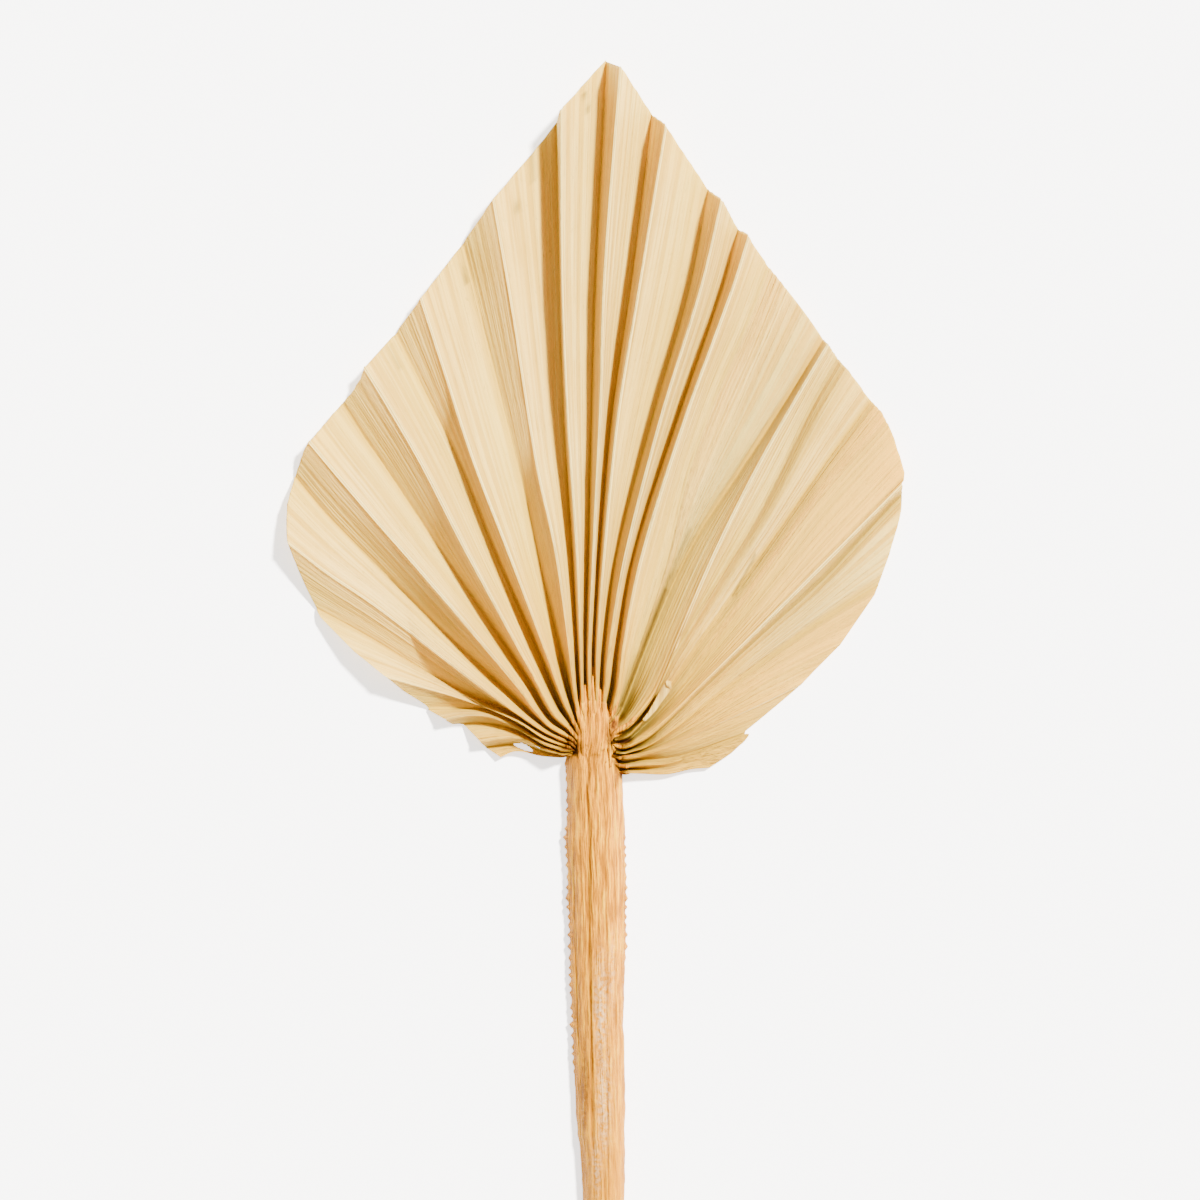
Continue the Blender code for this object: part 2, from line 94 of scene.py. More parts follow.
# Fold lines in plan, hub end first, going anticlockwise from the lowest right one.  They run a little
# past the cut rim and stop where they cross it.  "E" free edge, "V" valley, "R" rib, "S" soft crest and
# "T" soft trough.  The last entry is the height (mm) at even steps from hub to rim; where it is None
# the height follows from the width of a flat panel.
FOLDS = [
    ("E", [(5.6, -8.4), (9, -8.6), (14.9, -8.8), (20.4, -7.7), (24.2, -7.4)], (3.4, 2.6, 2, 1.4, 1)),
    ("T", [(5.7, -7.6), (9, -7.6), (14.5, -7.4), (19.5, -6.2), (29.5, -4.2)], (0.3, 0.5, 0.6, 0.8, 0.8)),
    ("S", [(5.8, -6.9), (9, -6.6), (14, -6.5), (19, -5.4), (31.5, -2.2)], (4, 2.4, 0.9, 0.7, 0.6)),
    ("V", [(5.9, -6), (9, -5.7), (15, -5.4), (21.6, -3.7), (27.5, -1.6), (33.5, 0.4)], None),
    ("R", [(6, -4.9), (9.5, -4.2), (14, -3), (20, -0.6), (28, 3.2), (35, 6.4), (45.5, 11.6)],
     (4.6, 3.4, 2.8, 2.6, 2.2)),
    ("T", [(6.1, -4.4), (9.7, -3.5), (14, -1.9), (20.5, 1.6), (29.5, 7.2), (38, 12.4), (53, 19.6)],
     (0.5, 0.6, 0.9, 0.9, 0.9)),
    ("V", [(6.2, -3.9), (10.7, -2.4), (16.3, 1.2), (26.3, 8.9), (36.3, 16.2), (48.7, 25), (63, 34)],
     (4.2, 1.8, 0.1, 0, 0)),
    ("T", [(6.3, -3.3), (9.9, -1.8), (15.1, 2.6), (24.2, 11.2), (37, 23), (49, 33.8),
          (60.2, 45.8), (68, 54.2)],
     (0.4, 0.5, 0.8, 0.9, 0.7)),
    ("R", [(6.4, -2.2), (9.9, -0.4), (14.3, 3.1), (22.8, 11.4), (36.3, 24.6), (50, 38.3), (68, 56.4)],
     (5.2, 4.8, 4.6, 4.4, 4)),
    ("T", [(6.6, -1), (9, 1.2), (13, 5.2), (20.5, 14), (34, 32), (47.5, 50.5), (64.5, 70)],
     (0.5, 1.1, 1.9, 2.1, 1.9)),
    ("V", [(6.8, 0.3), (10.2, 3.9), (12.8, 6.9), (15.6, 11.2), (24.9, 24.6), (39.9, 45.7),
          (50, 60.3), (61, 75.4)],
     (4.4, 3, 0, 0, 0)),
    ("T", [(6.6, 1.3), (9.3, 4.2), (11.9, 8.2), (16.6, 18.2), (26, 33.6), (36.1, 50.3),
          (47.1, 72.8), (53.4, 84)],
     (0.4, 0.3, 1.0, 1.0, 0.7)),
    ("R", [(6.2, 2.2), (8.5, 4.5), (12.5, 10), (17.2, 21.2), (25.2, 40), (35.1, 59.8), (44, 75.5),
          (51.6, 88.2)],
     (5.4, 5.2, 5.2, 4.8, 3.6)),
    ("V", [(4.9, 5.7), (6.4, 9.2), (9.7, 18), (16.2, 33.4), (22.4, 45.2), (31.3, 58.7),
          (42.2, 75.4), (50.4, 89)],
     (0, 0, 0, 0.6, 1.2)),
    ("S", [(4.7, 6), (6.1, 9.6), (9.3, 18.3), (15.7, 36), (21.4, 52.5), (30.2, 72.2),
          (38.6, 91.5), (42.2, 100)],
     (0.9, 1.2, 1.8, 2.8, 3.2)),
    ("T", [(4.4, 6.4), (5.7, 10), (8.6, 18.8), (14.6, 37.5), (19.8, 58), (26, 75.5), (32, 89), (38.5, 106)],
     (2.4, 3, 2.6, 1.8, 1.6)),
    ("R", [(3.4, 7), (4.2, 10.4), (5.2, 19.4), (9.2, 39), (18.9, 70), (29.1, 98), (33.5, 112)],
     (5.2, 5.4, 6, 6.8, 7)),
    ("V", [(1.9, 7.7), (2.7, 11), (3.9, 19.7), (7.3, 39.4), (17.2, 70), (26.8, 98), (30.9, 113)], None),
    ("R", [(0.9, 8), (1.3, 11), (2.2, 19.9), (5.8, 40), (13.5, 70), (22.1, 98), (27.3, 120)],
     (4.6, 4.8, 5.8, 7.2, 8)),
    ("V", [(0.1, 8.2), (0.2, 11), (0.9, 20), (3.7, 40), (11.6, 70), (19.6, 98), (24.2, 122)], None),
    ("R", [(-0.7, 8.3), (-0.7, 11), (-0.5, 20), (1, 40), (4, 70), (8.9, 100), (14.9, 136)],
     (4.6, 4.8, 6, 7.8, 9)),
    ("V", [(-1.5, 8.4), (-1.5, 11), (-1.4, 20), (-0.2, 40), (2.5, 70), (6.9, 100), (11.7, 139)], None),
    ("R", [(-2.3, 8.4), (-2.3, 11), (-2.3, 20), (-1.4, 40), (0.1, 70), (1, 100), (4.8, 149)],
     (4.6, 4.6, 5.6, 7.2, 8.8)),
    ("V", [(-3.1, 8.3), (-3.3, 11), (-3.3, 20), (-2.6, 40), (-1.9, 70), (-1, 100), (1.6, 152)], None),
    ("R", [(-3.9, 7.9), (-4, 11), (-4.3, 20), (-5, 40), (-7.1, 70), (-8.3, 100), (-8.5, 140)],
     (4.6, 4.8, 5.8, 7.6, 9)),
    ("V", [(-4.5, 7.2), (-4.8, 11), (-5.2, 20), (-6.2, 40), (-8, 70), (-8.9, 95), (-9.7, 138)], None),
    ("R", [(-5, 5.9), (-5.7, 10.5), (-6.8, 20), (-9.6, 40), (-14, 60), (-19.5, 95), (-24, 121)], None),
    ("V", [(-5.6, 4.5), (-6.9, 9.5), (-8.9, 18.5), (-13.8, 40), (-17.4, 57), (-22.6, 78),
          (-31.2, 112)], None),
    ("R", [(-6, 3.4), (-7.9, 7.6), (-11.1, 16.5), (-20, 40), (-27.7, 60), (-35.2, 83), (-40.6, 100)], None),
    ("V", [(-6.5, 2.6), (-8.8, 6.7), (-14.3, 20), (-23.1, 40), (-31.3, 60.5), (-38.8, 76),
          (-47, 92.5)], None),
    ("R", [(-6.9, 1.6), (-10, 4.7), (-15, 14), (-30, 41.7), (-39.3, 59.8), (-46.6, 72.4),
          (-53.8, 84)], None),
    ("V", [(-7.2, 0.7), (-11.3, 4.1), (-16, 12.2), (-34.5, 39.5), (-47.6, 59.3), (-53, 67),
          (-59.4, 77)], None),
    ("R", [(-7.3, -0.3), (-11.6, 2.4), (-18.5, 11.4), (-35, 31), (-50, 48.1), (-58.3, 57.8),
          (-66, 67)], None),
    ("V", [(-7.4, -0.9), (-11.9, 1.6), (-20, 8.9), (-35, 23), (-50, 37.8), (-60, 48), (-70, 60)], None),
    ("R", [(-7.5, -1.5), (-12, 0.7), (-20, 6.1), (-35, 17.3), (-50.2, 28.9), (-61, 36.3),
          (-71, 44.2)], None),
    ("V", [(-7.6, -2), (-12.1, 0), (-20, 4.9), (-30, 9.1), (-42, 16), (-53, 22.6), (-65, 29)], None),
    ("R", [(-7.8, -2.5), (-12.2, -0.7), (-18, 3), (-26.2, 6.3), (-33, 8.7), (-40, 10.8),
          (-49, 13.4)], None),
    ("V", [(-8, -2.9), (-12.3, -1.2), (-17.5, 2.1), (-22, 4.6), (-27, 5.5), (-33, 5.6), (-40, 5.5)], None),
    ("R", [(-8.3, -3.3), (-12.4, -1.8), (-17.3, 1), (-21, 2.9), (-25, 4.3), (-29.5, 4.4), (-36, 2.9)],
     (6.2, 4.6, 4, 4, 3.4)),
    ("V", [(-8.5, -3.7), (-12.6, -2.4), (-17.2, 0.3), (-20, 1.4), (-24, 2.3), (-28, 2.5), (-33, 2.1)],
     (0.2, 0.6, 1, 0.6, 0)),
    ("R", [(-8.7, -4.1), (-12.8, -2.9), (-15.2, -1.6), (-18, -0.5), (-22, -0.7), (-24.5, -1.1),
          (-28.5, -1.8)],
     (5.6, 3.6, 3.6, 3.6, 3)),
    ("V", [(-8.8, -4.5), (-13, -3.6), (-17.2, -2.1), (-20.5, -2.2), (-23.5, -2.6), (-27, -3)],
     (0.6, 0.6, 0.8, 0.6, 0.2)),
    ("E", [(-8.9, -5), (-13.2, -4.7), (-17.3, -3.8), (-19.4, -3.9), (-22, -5.1)],
     (3.2, 2.4, 1.8, 1.6, 1.4)),
]

# Cut rim in plan, from the tip clockwise round to the lowest left corner.
RIM = [
    (1, 149.1), (4.7, 146), (10.3, 138.8), (14.5, 133.1), (23.7, 120.9), (32.5, 109.4),
    (41, 98.4), (50, 86.3),
    (59.6, 74.2), (62.3, 71.2), (64.7, 66), (66.6, 59.8), (67.2, 57.2), (66.4, 56), (66.7, 53.1),
    (66.6, 50.3),
    (65.9, 46.4), (63.6, 38.6), (60.8, 31), (58.1, 24.8), (54.3, 20.9), (48, 14.7), (44.2, 10.8),
    (39.2, 6.5),
    (33.3, 1.6), (31.9, 0.5), (33.3, -0.4), (28.9, -4.3), (26.3, -6.4), (24.2, -7.5), (20.4, -8),
    (14.9, -9.2),
    (9, -9.1), (4.6, -9), (-8.4, -5.6), (-13.3, -5.1), (-17.3, -4.2), (-19.3, -4.1),
    (-21.9, -5.3), (-22.8, -5.2),
    (-24.3, -3.9), (-25.3, -2.9), (-26.6, -1.3), (-29.6, 1.6), (-30.6, 2.3), (-32.8, 2.2), (-33.9, 3.4),
    (-37.9, 5.3), (-38.9, 6.8), (-42.9, 9.3), (-46.4, 12.4), (-50.7, 15.8), (-56.4, 20.2), (-61.4, 25.1),
    (-62.7, 27.8), (-65.7, 34.2), (-68.6, 42.3), (-69, 47.3), (-68.9, 50.9), (-67.6, 56.6), (-65.5, 62.1),
    (-63.9, 64.7), (-58.3, 71.7), (-54.6, 75.8), (-53, 78.1), (-52, 80.6), (-45, 89), (-39.3, 96.3),
    (-31.7, 106.8), (-23.5, 117.7), (-15.7, 127.3), (-8.4, 137),
]

# Openings in the sheet, mm.
HOLES = [
    [(-19.2, -2.1), (-17.3, -1.9), (-15.7, -2.7), (-14.7, -3.6),
     (-15.2, -3.9), (-17.3, -3.3), (-18.9, -2.5)],
    [(-14.4, -2.4), (-13.3, -2.7), (-13.1, -3.1), (-14.1, -2.7)],
]

# Soft swells of single panels: panel, heights from hub to rim (mm), lean towards its second fold.
BELLIES = [
    (3, (0, 0.5, 0.9, 0.6, 0.3), 1.0), (6, (0, 0.4, 1.3, 1.9, 1.8), 1.6),
    (10, (0, 0.9, 2.0, 2.9, 2.8), 1.7), (13, (0, 0, 0.6, 1.7, 1.8), 0.8),
    (14, (0, 0.3, 0.7, 0.7, 0.5), 1.0), (33, (0, 0.1, 0.3, 0.6, 0.7), 0.8),
    (35, (0, 0.2, 0.5, 0.7, 0.8), 1.0),
]

# Frayed brown streaks on the sheet, the first two being a painted shadow line by the soft crest near the
# hub: line, half width, strength.
STREAKS_AND_SHADE_LINES = [
    ([(4.8, 6.3), (11.1, 23.2), (14.5, 32)], 0.55, 0.8),
    ([(14.5, 32), (16.9, 38.6), (19.9, 45.2)], 0.5, 0.4),
    ([(-46.5, 86), (-44, 81)], 0.35, 0.6),
    ([(-3.5, 141), (-2.5, 137)], 0.3, 0.6),
    ([(-15, 128), (-14.5, 122)], 0.3, 0.5),
    ([(-20, 121), (-17.5, 114)], 0.3, 0.5),
    ([(-30.5, 106), (-29.5, 100)], 0.3, 0.6),
    ([(34.3, 39.7), (33.3, 37.7), (30.8, 33.2), (29.4, 30.7)], 0.28, 0.6),
]

# Stalk stations: y, left margin x, right margin x, height of the crown (mm).
STALK = [
    (-272.0, -2.0, 6.6, 5.2), (-190.0, -3.0, 6.1, 5.5), (-102.3, -3.7, 5.5, 6.0), (-93.3, -4.4, 5.5, 6.1),
    (-82.7, -5.3, 5.5, 6.1), (-71.9, -5.7, 5.4, 6.2), (-61.4, -6.2, 5.2, 6.3), (-50.6, -6.6, 5.5, 6.5),
    (-40.0, -6.8, 5.6, 6.6), (-31.9, -7.3, 5.6, 6.8), (-22.0, -7.5, 5.6, 7.0), (-16.0, -7.3, 5.1, 7.0),
    (-10.0, -7.5, 4.9, 7.0), (-6.6, -7.8, 5.0, 7.0), (-4.0, -7.4, 5.2, 7.0), (-1.0, -6.5, 5.4, 6.9),
    (2.0, -5.6, 5.0, 6.8), (4.5, -4.5, 3.9, 6.6), (6.3, -3.2, 2.3, 6.4), (7.3, -2.2, 0.9, 6.2),
]

# Creases in the stalk, painted darker as shade the deeper they are: line, half width, depth (mm).
GROOVES = [
    ([(-2.5, -4.6), (-2.3, -7.7), (-2.8, -11), (-3, -12.3), (-2.8, -15.4), (-2.5, -18.7), (-2.3, -22),
      (-2.4, -40), (-1.9, -70), (-1.2, -110)], 0.38, 0.5),
    ([(-1.2, -3), (-1.4, -6), (-1, -10), (-1.1, -14)], 0.28, 0.45),
    ([(1.3, 3.7), (2.1, 0), (2.1, -1.8), (3.2, -4.4), (4.5, -6.8), (5.2, -8.4)], 0.24, 0.6),
    ([(2.3, -5.1), (3.4, -6.6), (3.8, -8.8), (3.4, -11), (3.2, -12.3)], 0.26, 0.35),
    ([(-7.6, -6.4), (-6.4, -4.3), (-4.5, -3.3), (-3.2, -4.4), (-2.7, -6.5)], 0.26, 0.4),
    ([(-0.6, -5.5), (0.2, -3.6), (1.2, -3.1), (2.2, -3.8), (3.2, -5.4)], 0.22, 0.35),
    ([(-4.6, -5), (-4.8, -12), (-4.4, -20), (-4.5, -34)], 0.22, 0.22),
    ([(0.9, -6), (0.7, -14), (1.2, -30), (1.5, -60), (2, -120)], 0.22, 0.2),
    ([(3.2, -14), (3.3, -30), (3.4, -52), (3.5, -80)], 0.2, 0.2),
    ([(-5.7, -14), (-5.9, -30), (-5.2, -52), (-4.2, -80)], 0.2, 0.2),
]

# Swollen places: line, half width, height (mm).
SWELLS = [
    ([(-5, -6), (-4.9, -12)], 2.0, 0.35),
    ([(-0.4, -4), (-0.3, 3), (-0.6, 7.6)], 0.5, 0.45),
    ([(0.6, -3), (0.9, 3), (1, 7)], 0.42, 0.4),
    ([(-1.6, -4), (-1.8, 3), (-2.1, 7.6)], 0.5, 0.45),
    ([(-3, -2), (-3.1, 4), (-3.3, 6)], 0.42, 0.4),
]

# Brown scars on the stalk: centre, half sizes, strength.
SCARS = [
    (-6.2, -2.4, 2.4, 2.3, 1.0), (4.8, -1.2, 2.3, 1.1, 1.0), (2.2, -0.4, 0.9, 3.0, 0.85),
    (-5.0, 1.2, 1.2, 2.0, 0.7), (4.0, -5.2, 1.1, 3.0, 0.8), (2.9, 2.4, 1.2, 1.6, 1.0),
    (-3.3, -76, 0.8, 10, 0.6), (5.0, -8.6, 1.1, 1.3, 0.9), (3.6, -9.4, 0.7, 2.2, 0.5),
]

# Pale scuffs on the stalk: centre, half sizes, strength.
SCUFFS = [
    (0.2, -60, 1.4, 10, 0.8), (0.9, -80, 1.4, 11, 0.7), (-0.8, -95, 1.2, 6, 0.5), (2.6, -52, 0.8, 8, 0.4),
]

# Strands from the head of the stalk into the ribs: start, bend, rib, radius.
ROOTS = [
    ((3.6, -7.9, 3.6), (4.6, -8.3, 3.8), 0, 0.42),
    ((3.0, -6.2, 4.8), (4.5, -6.8, 4.7), 2, 0.45),
    ((2.7, -4.4, 5.6), (4.4, -5.0, 5.4), 4, 0.5),
    ((2.6, -1.9, 6.0), (4.4, -2.6, 6.1), 8, 0.55),
    ((2.0, -1.2, 6.2), (3.6, 0.8, 6.6), 12, 0.6),
    ((1.6, 3.0, 6.0), (2.9, 4.7, 6.5), 16, 0.55),
    ((0.5, 0.0, 6.6), (0.8, 4.5, 6.9), 18, 0.5),
    ((-0.3, -1.0, 6.6), (-0.6, 4.5, 7.0), 20, 0.5),
    ((-1.4, -2.0, 6.6), (-2.0, 4.5, 7.0), 22, 0.5),
    ((-2.5, -2.0, 6.5), (-3.2, 4.2, 6.9), 24, 0.5),
    ((-3.2, -1.8, 6.3), (-4.3, 3.0, 6.9), 26, 0.5),
    ((-3.8, -1.8, 6.2), (-5.1, 1.5, 6.7), 28, 0.5),
    ((-4.2, -2.1, 6.0), (-5.7, 0.2, 6.6), 30, 0.48),
    ((-4.8, -2.6, 5.8), (-6.1, -1.0, 6.5), 32, 0.46),
    ((-5.2, -3.0, 5.6), (-6.4, -1.9, 6.4), 34, 0.44),
    ((-5.6, -3.5, 5.4), (-6.8, -2.7, 6.2), 36, 0.42),
    ((-5.9, -4.0, 5.0), (-7.1, -3.5, 5.9), 38, 0.4),
    ((-6.3, -4.5, 4.6), (-7.5, -4.2, 5.5), 40, 0.38),
]

# Where the folds gather under the head of the stalk: fold, x, y.
GATHER = [
    (0, 3.8, -7.9), (2, 3.7, -6.5), (4, 3.6, -4.9), (8, 3.4, -2.6), (12, 3.0, 0.6), (16, 1.9, 3.2),
    (18, 0.7, 3.0), (20, -0.5, 3.0), (22, -1.7, 3.0), (24, -2.9, 2.6), (26, -3.8, 1.8), (28, -4.4, 0.8),
    (30, -4.8, -0.2), (32, -5.1, -1.1), (34, -5.4, -1.9), (36, -5.7, -2.7), (38, -6.0, -3.4),
    (40, -6.2, -4.0), (42, -6.3, -4.6),
]

# The tongue of the stalk between the middle ribs, and the fibres on it: path, radii, flatness.
STRANDS = [
    ([(-0.7, -6, 4.0), (-0.9, 1, 4.0), (-1.1, 6, 3.9), (-1.3, 10, 3.7), (-1.4, 15, 3.2)],
     (3.6, 3.3, 2.6, 1.5, 0.25), 0.6),
    ([(-3.6, -7, 6.3), (-3.6, -1, 6.2), (-3.8, 3, 5.9), (-4.1, 7, 5.2)], (0.2, 0.55, 0.55, 0.3), 0.8),
    ([(-2.8, -3.5, 6.5), (-2.9, 1, 6.3), (-3.0, 5, 5.6), (-3.2, 11, 4.8)], (0.2, 0.42, 0.42, 0.3), 0.8),
    ([(-2.0, -9, 6.5), (-1.9, -1, 6.4), (-2.2, 4, 6.0), (-2.3, 8, 5.4)], (0.2, 0.5, 0.55, 0.4), 0.8),
    ([(-1.1, -5, 6.5), (-1.3, 1, 6.4), (-1.5, 6, 5.7), (-1.5, 13, 5.0)], (0.2, 0.4, 0.42, 0.3), 0.8),
    ([(-0.5, -9, 6.5), (-0.4, 0, 6.4), (-0.7, 4, 6.0), (-0.7, 8, 5.4)], (0.2, 0.5, 0.55, 0.4), 0.8),
    ([(0.4, -4, 6.4), (0.2, 1, 6.3), (0.1, 5, 5.6), (0.1, 10, 4.8)], (0.2, 0.38, 0.38, 0.3), 0.8),
    ([(1.3, -6, 6.4), (0.9, -1, 6.2), (0.9, 3, 5.9), (1.1, 7, 5.2)], (0.2, 0.5, 0.5, 0.3), 0.8),
    ([(2.3, -7, 6.1), (1.9, -2, 6.1), (1.4, 1, 6.1), (1.6, 4, 5.5)], (0.2, 0.45, 0.5, 0.3), 0.8),
    ([(-4.4, -6, 6.1), (-4.6, -1, 5.9), (-4.4, 2, 5.6), (-4.7, 6, 4.9)], (0.2, 0.4, 0.45, 0.3), 0.8),
]

# A torn flap of the sheet by the hub: path, radii, flatness.
FLAP = [
    ([(9.6, 3.2, 5.6), (11.6, 5.6, 5.7), (13.3, 8.2, 5.9), (14.6, 10.4, 6.5), (15.3, 11.9, 7.3)],
     (0.35, 0.55, 0.75, 1.0, 0.5), 0.22),
    ([(14.6, 11.9, 7.1), (15.0, 11.2, 7.3), (15.5, 10.3, 6.7)], (0.35, 0.5, 0.25), 0.4),
    ([(15.4, 17.2, 5.2), (16.6, 19.4, 5.5), (18.0, 22.0, 5.3)], (0.2, 0.42, 0.1), 0.35),
]

# Soft painted shade stripes along folds: fold, shift (mm), half width, strengths from hub to rim.
SHADE_STRIPES = [
    (10, 0.9, 0.9, (0.7, 0.8, 0.8, 0.7, 0.5)), (6, 0.2, 0.6, (0.5, 0.6, 0.7, 0.7, 0.7)),
    (7, 0.0, 1.4, (0.1, 0.2, 0.45, 0.8, 0.8)), (11, 0.9, 1.6, (0.1, 0.2, 0.5, 0.8, 0.7)),
    (13, -0.4, 1.3, (0.9, 0.9, 0.8, 0.6, 0.3)),
    (3, 0.3, 0.9, (0.3, 0.5, 0.5, 0.5, 0.5)), (15, 0.0, 1.2, (0.2, 0.2, 0.15, 0.1, 0.1)),
]

# Tan tint (positive) or painted olive shade (negative) of single panels: panel, strengths from hub to rim.
PANEL_TINTS_AND_SHADE = [
    (0, (0.6, 0.4, 0.3, 0.3, 0.3)),
    (1, (0.6, 0.5, 0.3, 0.3, 0.3)),
    (2, (0.3, -0.2, -0.2, -0.2, 0.1)),
    (3, (0.6, 0.5, 0.3, 0.3, 0.3)),
    (4, (0.7, 0.7, 0.7, 0.7, 0.7)),
    (5, (0.8, 0.8, 0.8, 0.8, 0.8)),
    (6, (0.6, 0.2, -0.2, -0.3, -0.3)),
    (7, (0.6, 0.3, 0.2, 0.2, 0.6)),
    (8, (0.9, 0.9, 0.8, 0.8, 0.8)),
    (9, (0.9, 1.0, 1.0, 1.0, 1.0)),
    (10, (0.4, 0.1, 0.0, 0.0, -0.2)),
    (11, (0.3, 0.1, 0.0, 0.0, 0.0)),
    (12, (0.6, -0.4, -0.6, -0.6, -0.4)),
    (13, (-0.3, -0.8, -0.9, -0.7, -0.4)),
    (14, (0.1, 0.1, 0.2, 0.2, 0.2)),
    (15, (0.3, 0.2, 0.2, 0.2, 0.2)),
]

# Light and view; the floor is in metres.
FLOOR_HALF = 6.0
FLOOR_DROP = 0.0003
LENS = 95.0
SENSOR = 36.0
KEY_AZ = 41.0
KEY_EL = 51.0
KEY_SIZE = 6.0
KEY_ENERGY = 22.0
FILL = 0.95
VIEW_WIDTH = 264.0
VIEW_X = 0.0
VIEW_Y = 29.7


# ---------------------------------------------------------------- blade
def dense(points, count=481):
    """Points at even running length on a smooth curve through the given ones."""
    p = np.array(points, float)
    k = np.concatenate([[0.0], np.cumsum(np.linalg.norm(np.diff(p, axis=0), axis=1))])
    lo = np.maximum(np.arange(len(p)) - 1, 0)
    hi = np.minimum(np.arange(len(p)) + 1, len(p) - 1)
    slope = (p[hi] - p[lo]) / (k[hi] - k[lo])[:, None]
    want = np.linspace(0.0, k[-1], count)
    i = np.clip(np.searchsorted(k, want, side="right") - 1, 0, len(p) - 2)
    span = (k[i + 1] - k[i])[:, None]
    f = (want[:, None] - k[i][:, None]) / span
    f2 = f * f
    f3 = f2 * f
    return (p[i] * (2 * f3 - 3 * f2 + 1) + slope[i] * span * (f3 - 2 * f2 + f)
            + p[i + 1] * (3 * f2 - 2 * f3) + slope[i + 1] * span * (f3 - f2))


def inside(poly, x, y):
    """Which of the points lie inside a closed outline."""
    x = np.asarray(x, float)
    y = np.asarray(y, float)
    found = np.zeros(x.shape, bool)
    for (ax, ay), (bx, by) in zip(poly, poly[1:] + poly[:1]):
        if ay == by:
            continue
        cross = ((ay > y) != (by > y)) & (x < ax + (y - ay) / (by - ay) * (bx - ax))
        found ^= cross
    return found


def pick(curve, t):
    """Points of a dense curve at fractions t."""
    s = np.clip(np.asarray(t, float), 0.0, 1.0) * (len(curve) - 1)
    k = np.minimum(s.astype(int), len(curve) - 2)
    f = (s - k)[..., None]
    return curve[k] * (1 - f) + curve[k + 1] * f


def along(t, values):
    """Values given at even steps from 0 to 1, read at t."""
    return np.interp(t, np.linspace(0, 1, len(values)), values)


def rim_fraction(curve):
    """Share of a fold's length at which it crosses the cut rim."""
    out = ~inside(RIM, curve[:, 0], curve[:, 1])
    start = int(0.6 * len(curve))
    hits = np.nonzero(out[start:])[0]
    return 1.0 if len(hits) == 0 else (start + hits[0] - 0.5) / (len(curve) - 1)


def to_polyline(px, py, line):
    """Distance to a polyline and the fraction along it of the nearest point."""
    best = np.full(px.shape, 1e9)
    where = np.zeros(px.shape)
    n = len(line) - 1
    for k in range(n):
        ax, ay = line[k][:2]
        bx, by = line[k + 1][:2]
        dx = bx - ax
        dy = by - ay
        f = np.clip(((px - ax) * dx + (py - ay) * dy) / (dx * dx + dy * dy), 0, 1)
        d = np.hypot(px - ax - f * dx, py - ay - f * dy)
        near = d < best
        best = np.where(near, d, best)
        where = np.where(near, (k + f) / n, where)
    return best, where


def waves(seed, x, y, scale, octaves=3):
    """Smooth value noise in about -1 to 1."""
    rng = np.random.default_rng(seed)
    total = np.zeros(np.broadcast(x, y).shape)
    for o in range(octaves):
        grid = rng.uniform(-1, 1, (64, 64))
        gx = np.asarray(x) / scale * 2 ** o + 17.3 * o
        gy = np.asarray(y) / scale * 2 ** o + 5.1 * o
        i = np.floor(gx).astype(int)
        j = np.floor(gy).astype(int)
        fx = gx - i
        fy = gy - j
        fx = fx * fx * (3 - 2 * fx)
        fy = fy * fy * (3 - 2 * fy)
        a = grid[i % 64, j % 64] * (1 - fx) + grid[(i + 1) % 64, j % 64] * fx
        b = grid[i % 64, (j + 1) % 64] * (1 - fx) + grid[(i + 1) % 64, (j + 1) % 64] * fx
        total = total + (a * (1 - fy) + b * fy) * 0.55 ** o
    return total


def fold_lines():
    """Curves, rim fractions, row fractions, plan positions and heights of the folds."""
    curves = [dense(points) for kind, points, heights in FOLDS]
    ends = [1.0 if FOLDS[i][0] == "E" else rim_fraction(c) for i, c in enumerate(curves)]
    s = np.linspace(0.0, 1.0, ROWS) ** ROW_CROWDING
    plan = np.array([pick(c, s * e) for c, e in zip(curves, ends)])
    reach = np.linalg.norm(plan, axis=2)
    heights = np.zeros(reach.shape)
    for i, (kind, points, values) in enumerate(FOLDS):
        if values:
            heights[i] = along(s, values)
        elif kind == "R":
            gap = 0.5 * (np.linalg.norm(plan[i] - plan[i - 1], axis=1)
                         + np.linalg.norm(plan[i] - plan[i + 1], axis=1))
            panel = PANEL_AT_HUB + PANEL_GROWTH * reach[i]
            rise = np.sqrt(np.maximum(panel * panel - gap * gap, 0.0))
            rise = np.maximum(rise, MIN_SLOPE * gap)
            heights[i] = np.minimum(rise, MAX_SLOPE * gap + MAX_SLOPE_BASE)
    return curves, ends, s, plan, heights


def gathered(lines):
    """Rows that carry the folds on from the hub into the head of the stalk."""
    plan, heights = lines[3:]
    index = np.arange(len(FOLDS))
    known = [fold for fold, x, y in GATHER]
    goal = np.stack([np.interp(index, known, [g[k] for g in GATHER]) for k in (1, 2)], -1)
    q = np.linspace(0.0, 1.0, INNER_ROWS, endpoint=False)
    lead = plan[:, 3] - plan[:, 0]
    lead /= np.linalg.norm(lead, axis=1)[:, None]
    span = np.linalg.norm(plan[:, 0] - goal, axis=1)[:, None]
    bend = plan[:, 0] - lead * span * 0.45
    a = goal[:, None, :]
    b = bend[:, None, :]
    c = plan[:, 0][:, None, :]
    w = q[None, :, None]
    inner = a * (1 - w) ** 2 + b * 2 * w * (1 - w) + c * w * w
    high = np.array([kind in "RSE" for kind, points, values in FOLDS])
    start = np.where(high, heights[:, 0] - HEAD_DIP, heights[:, 0] + HEAD_RISE)
    inner_heights = start[:, None] * (1 - q) ** 1.5 + heights[:, :1] * (1 - (1 - q) ** 1.5)
    return inner, inner_heights


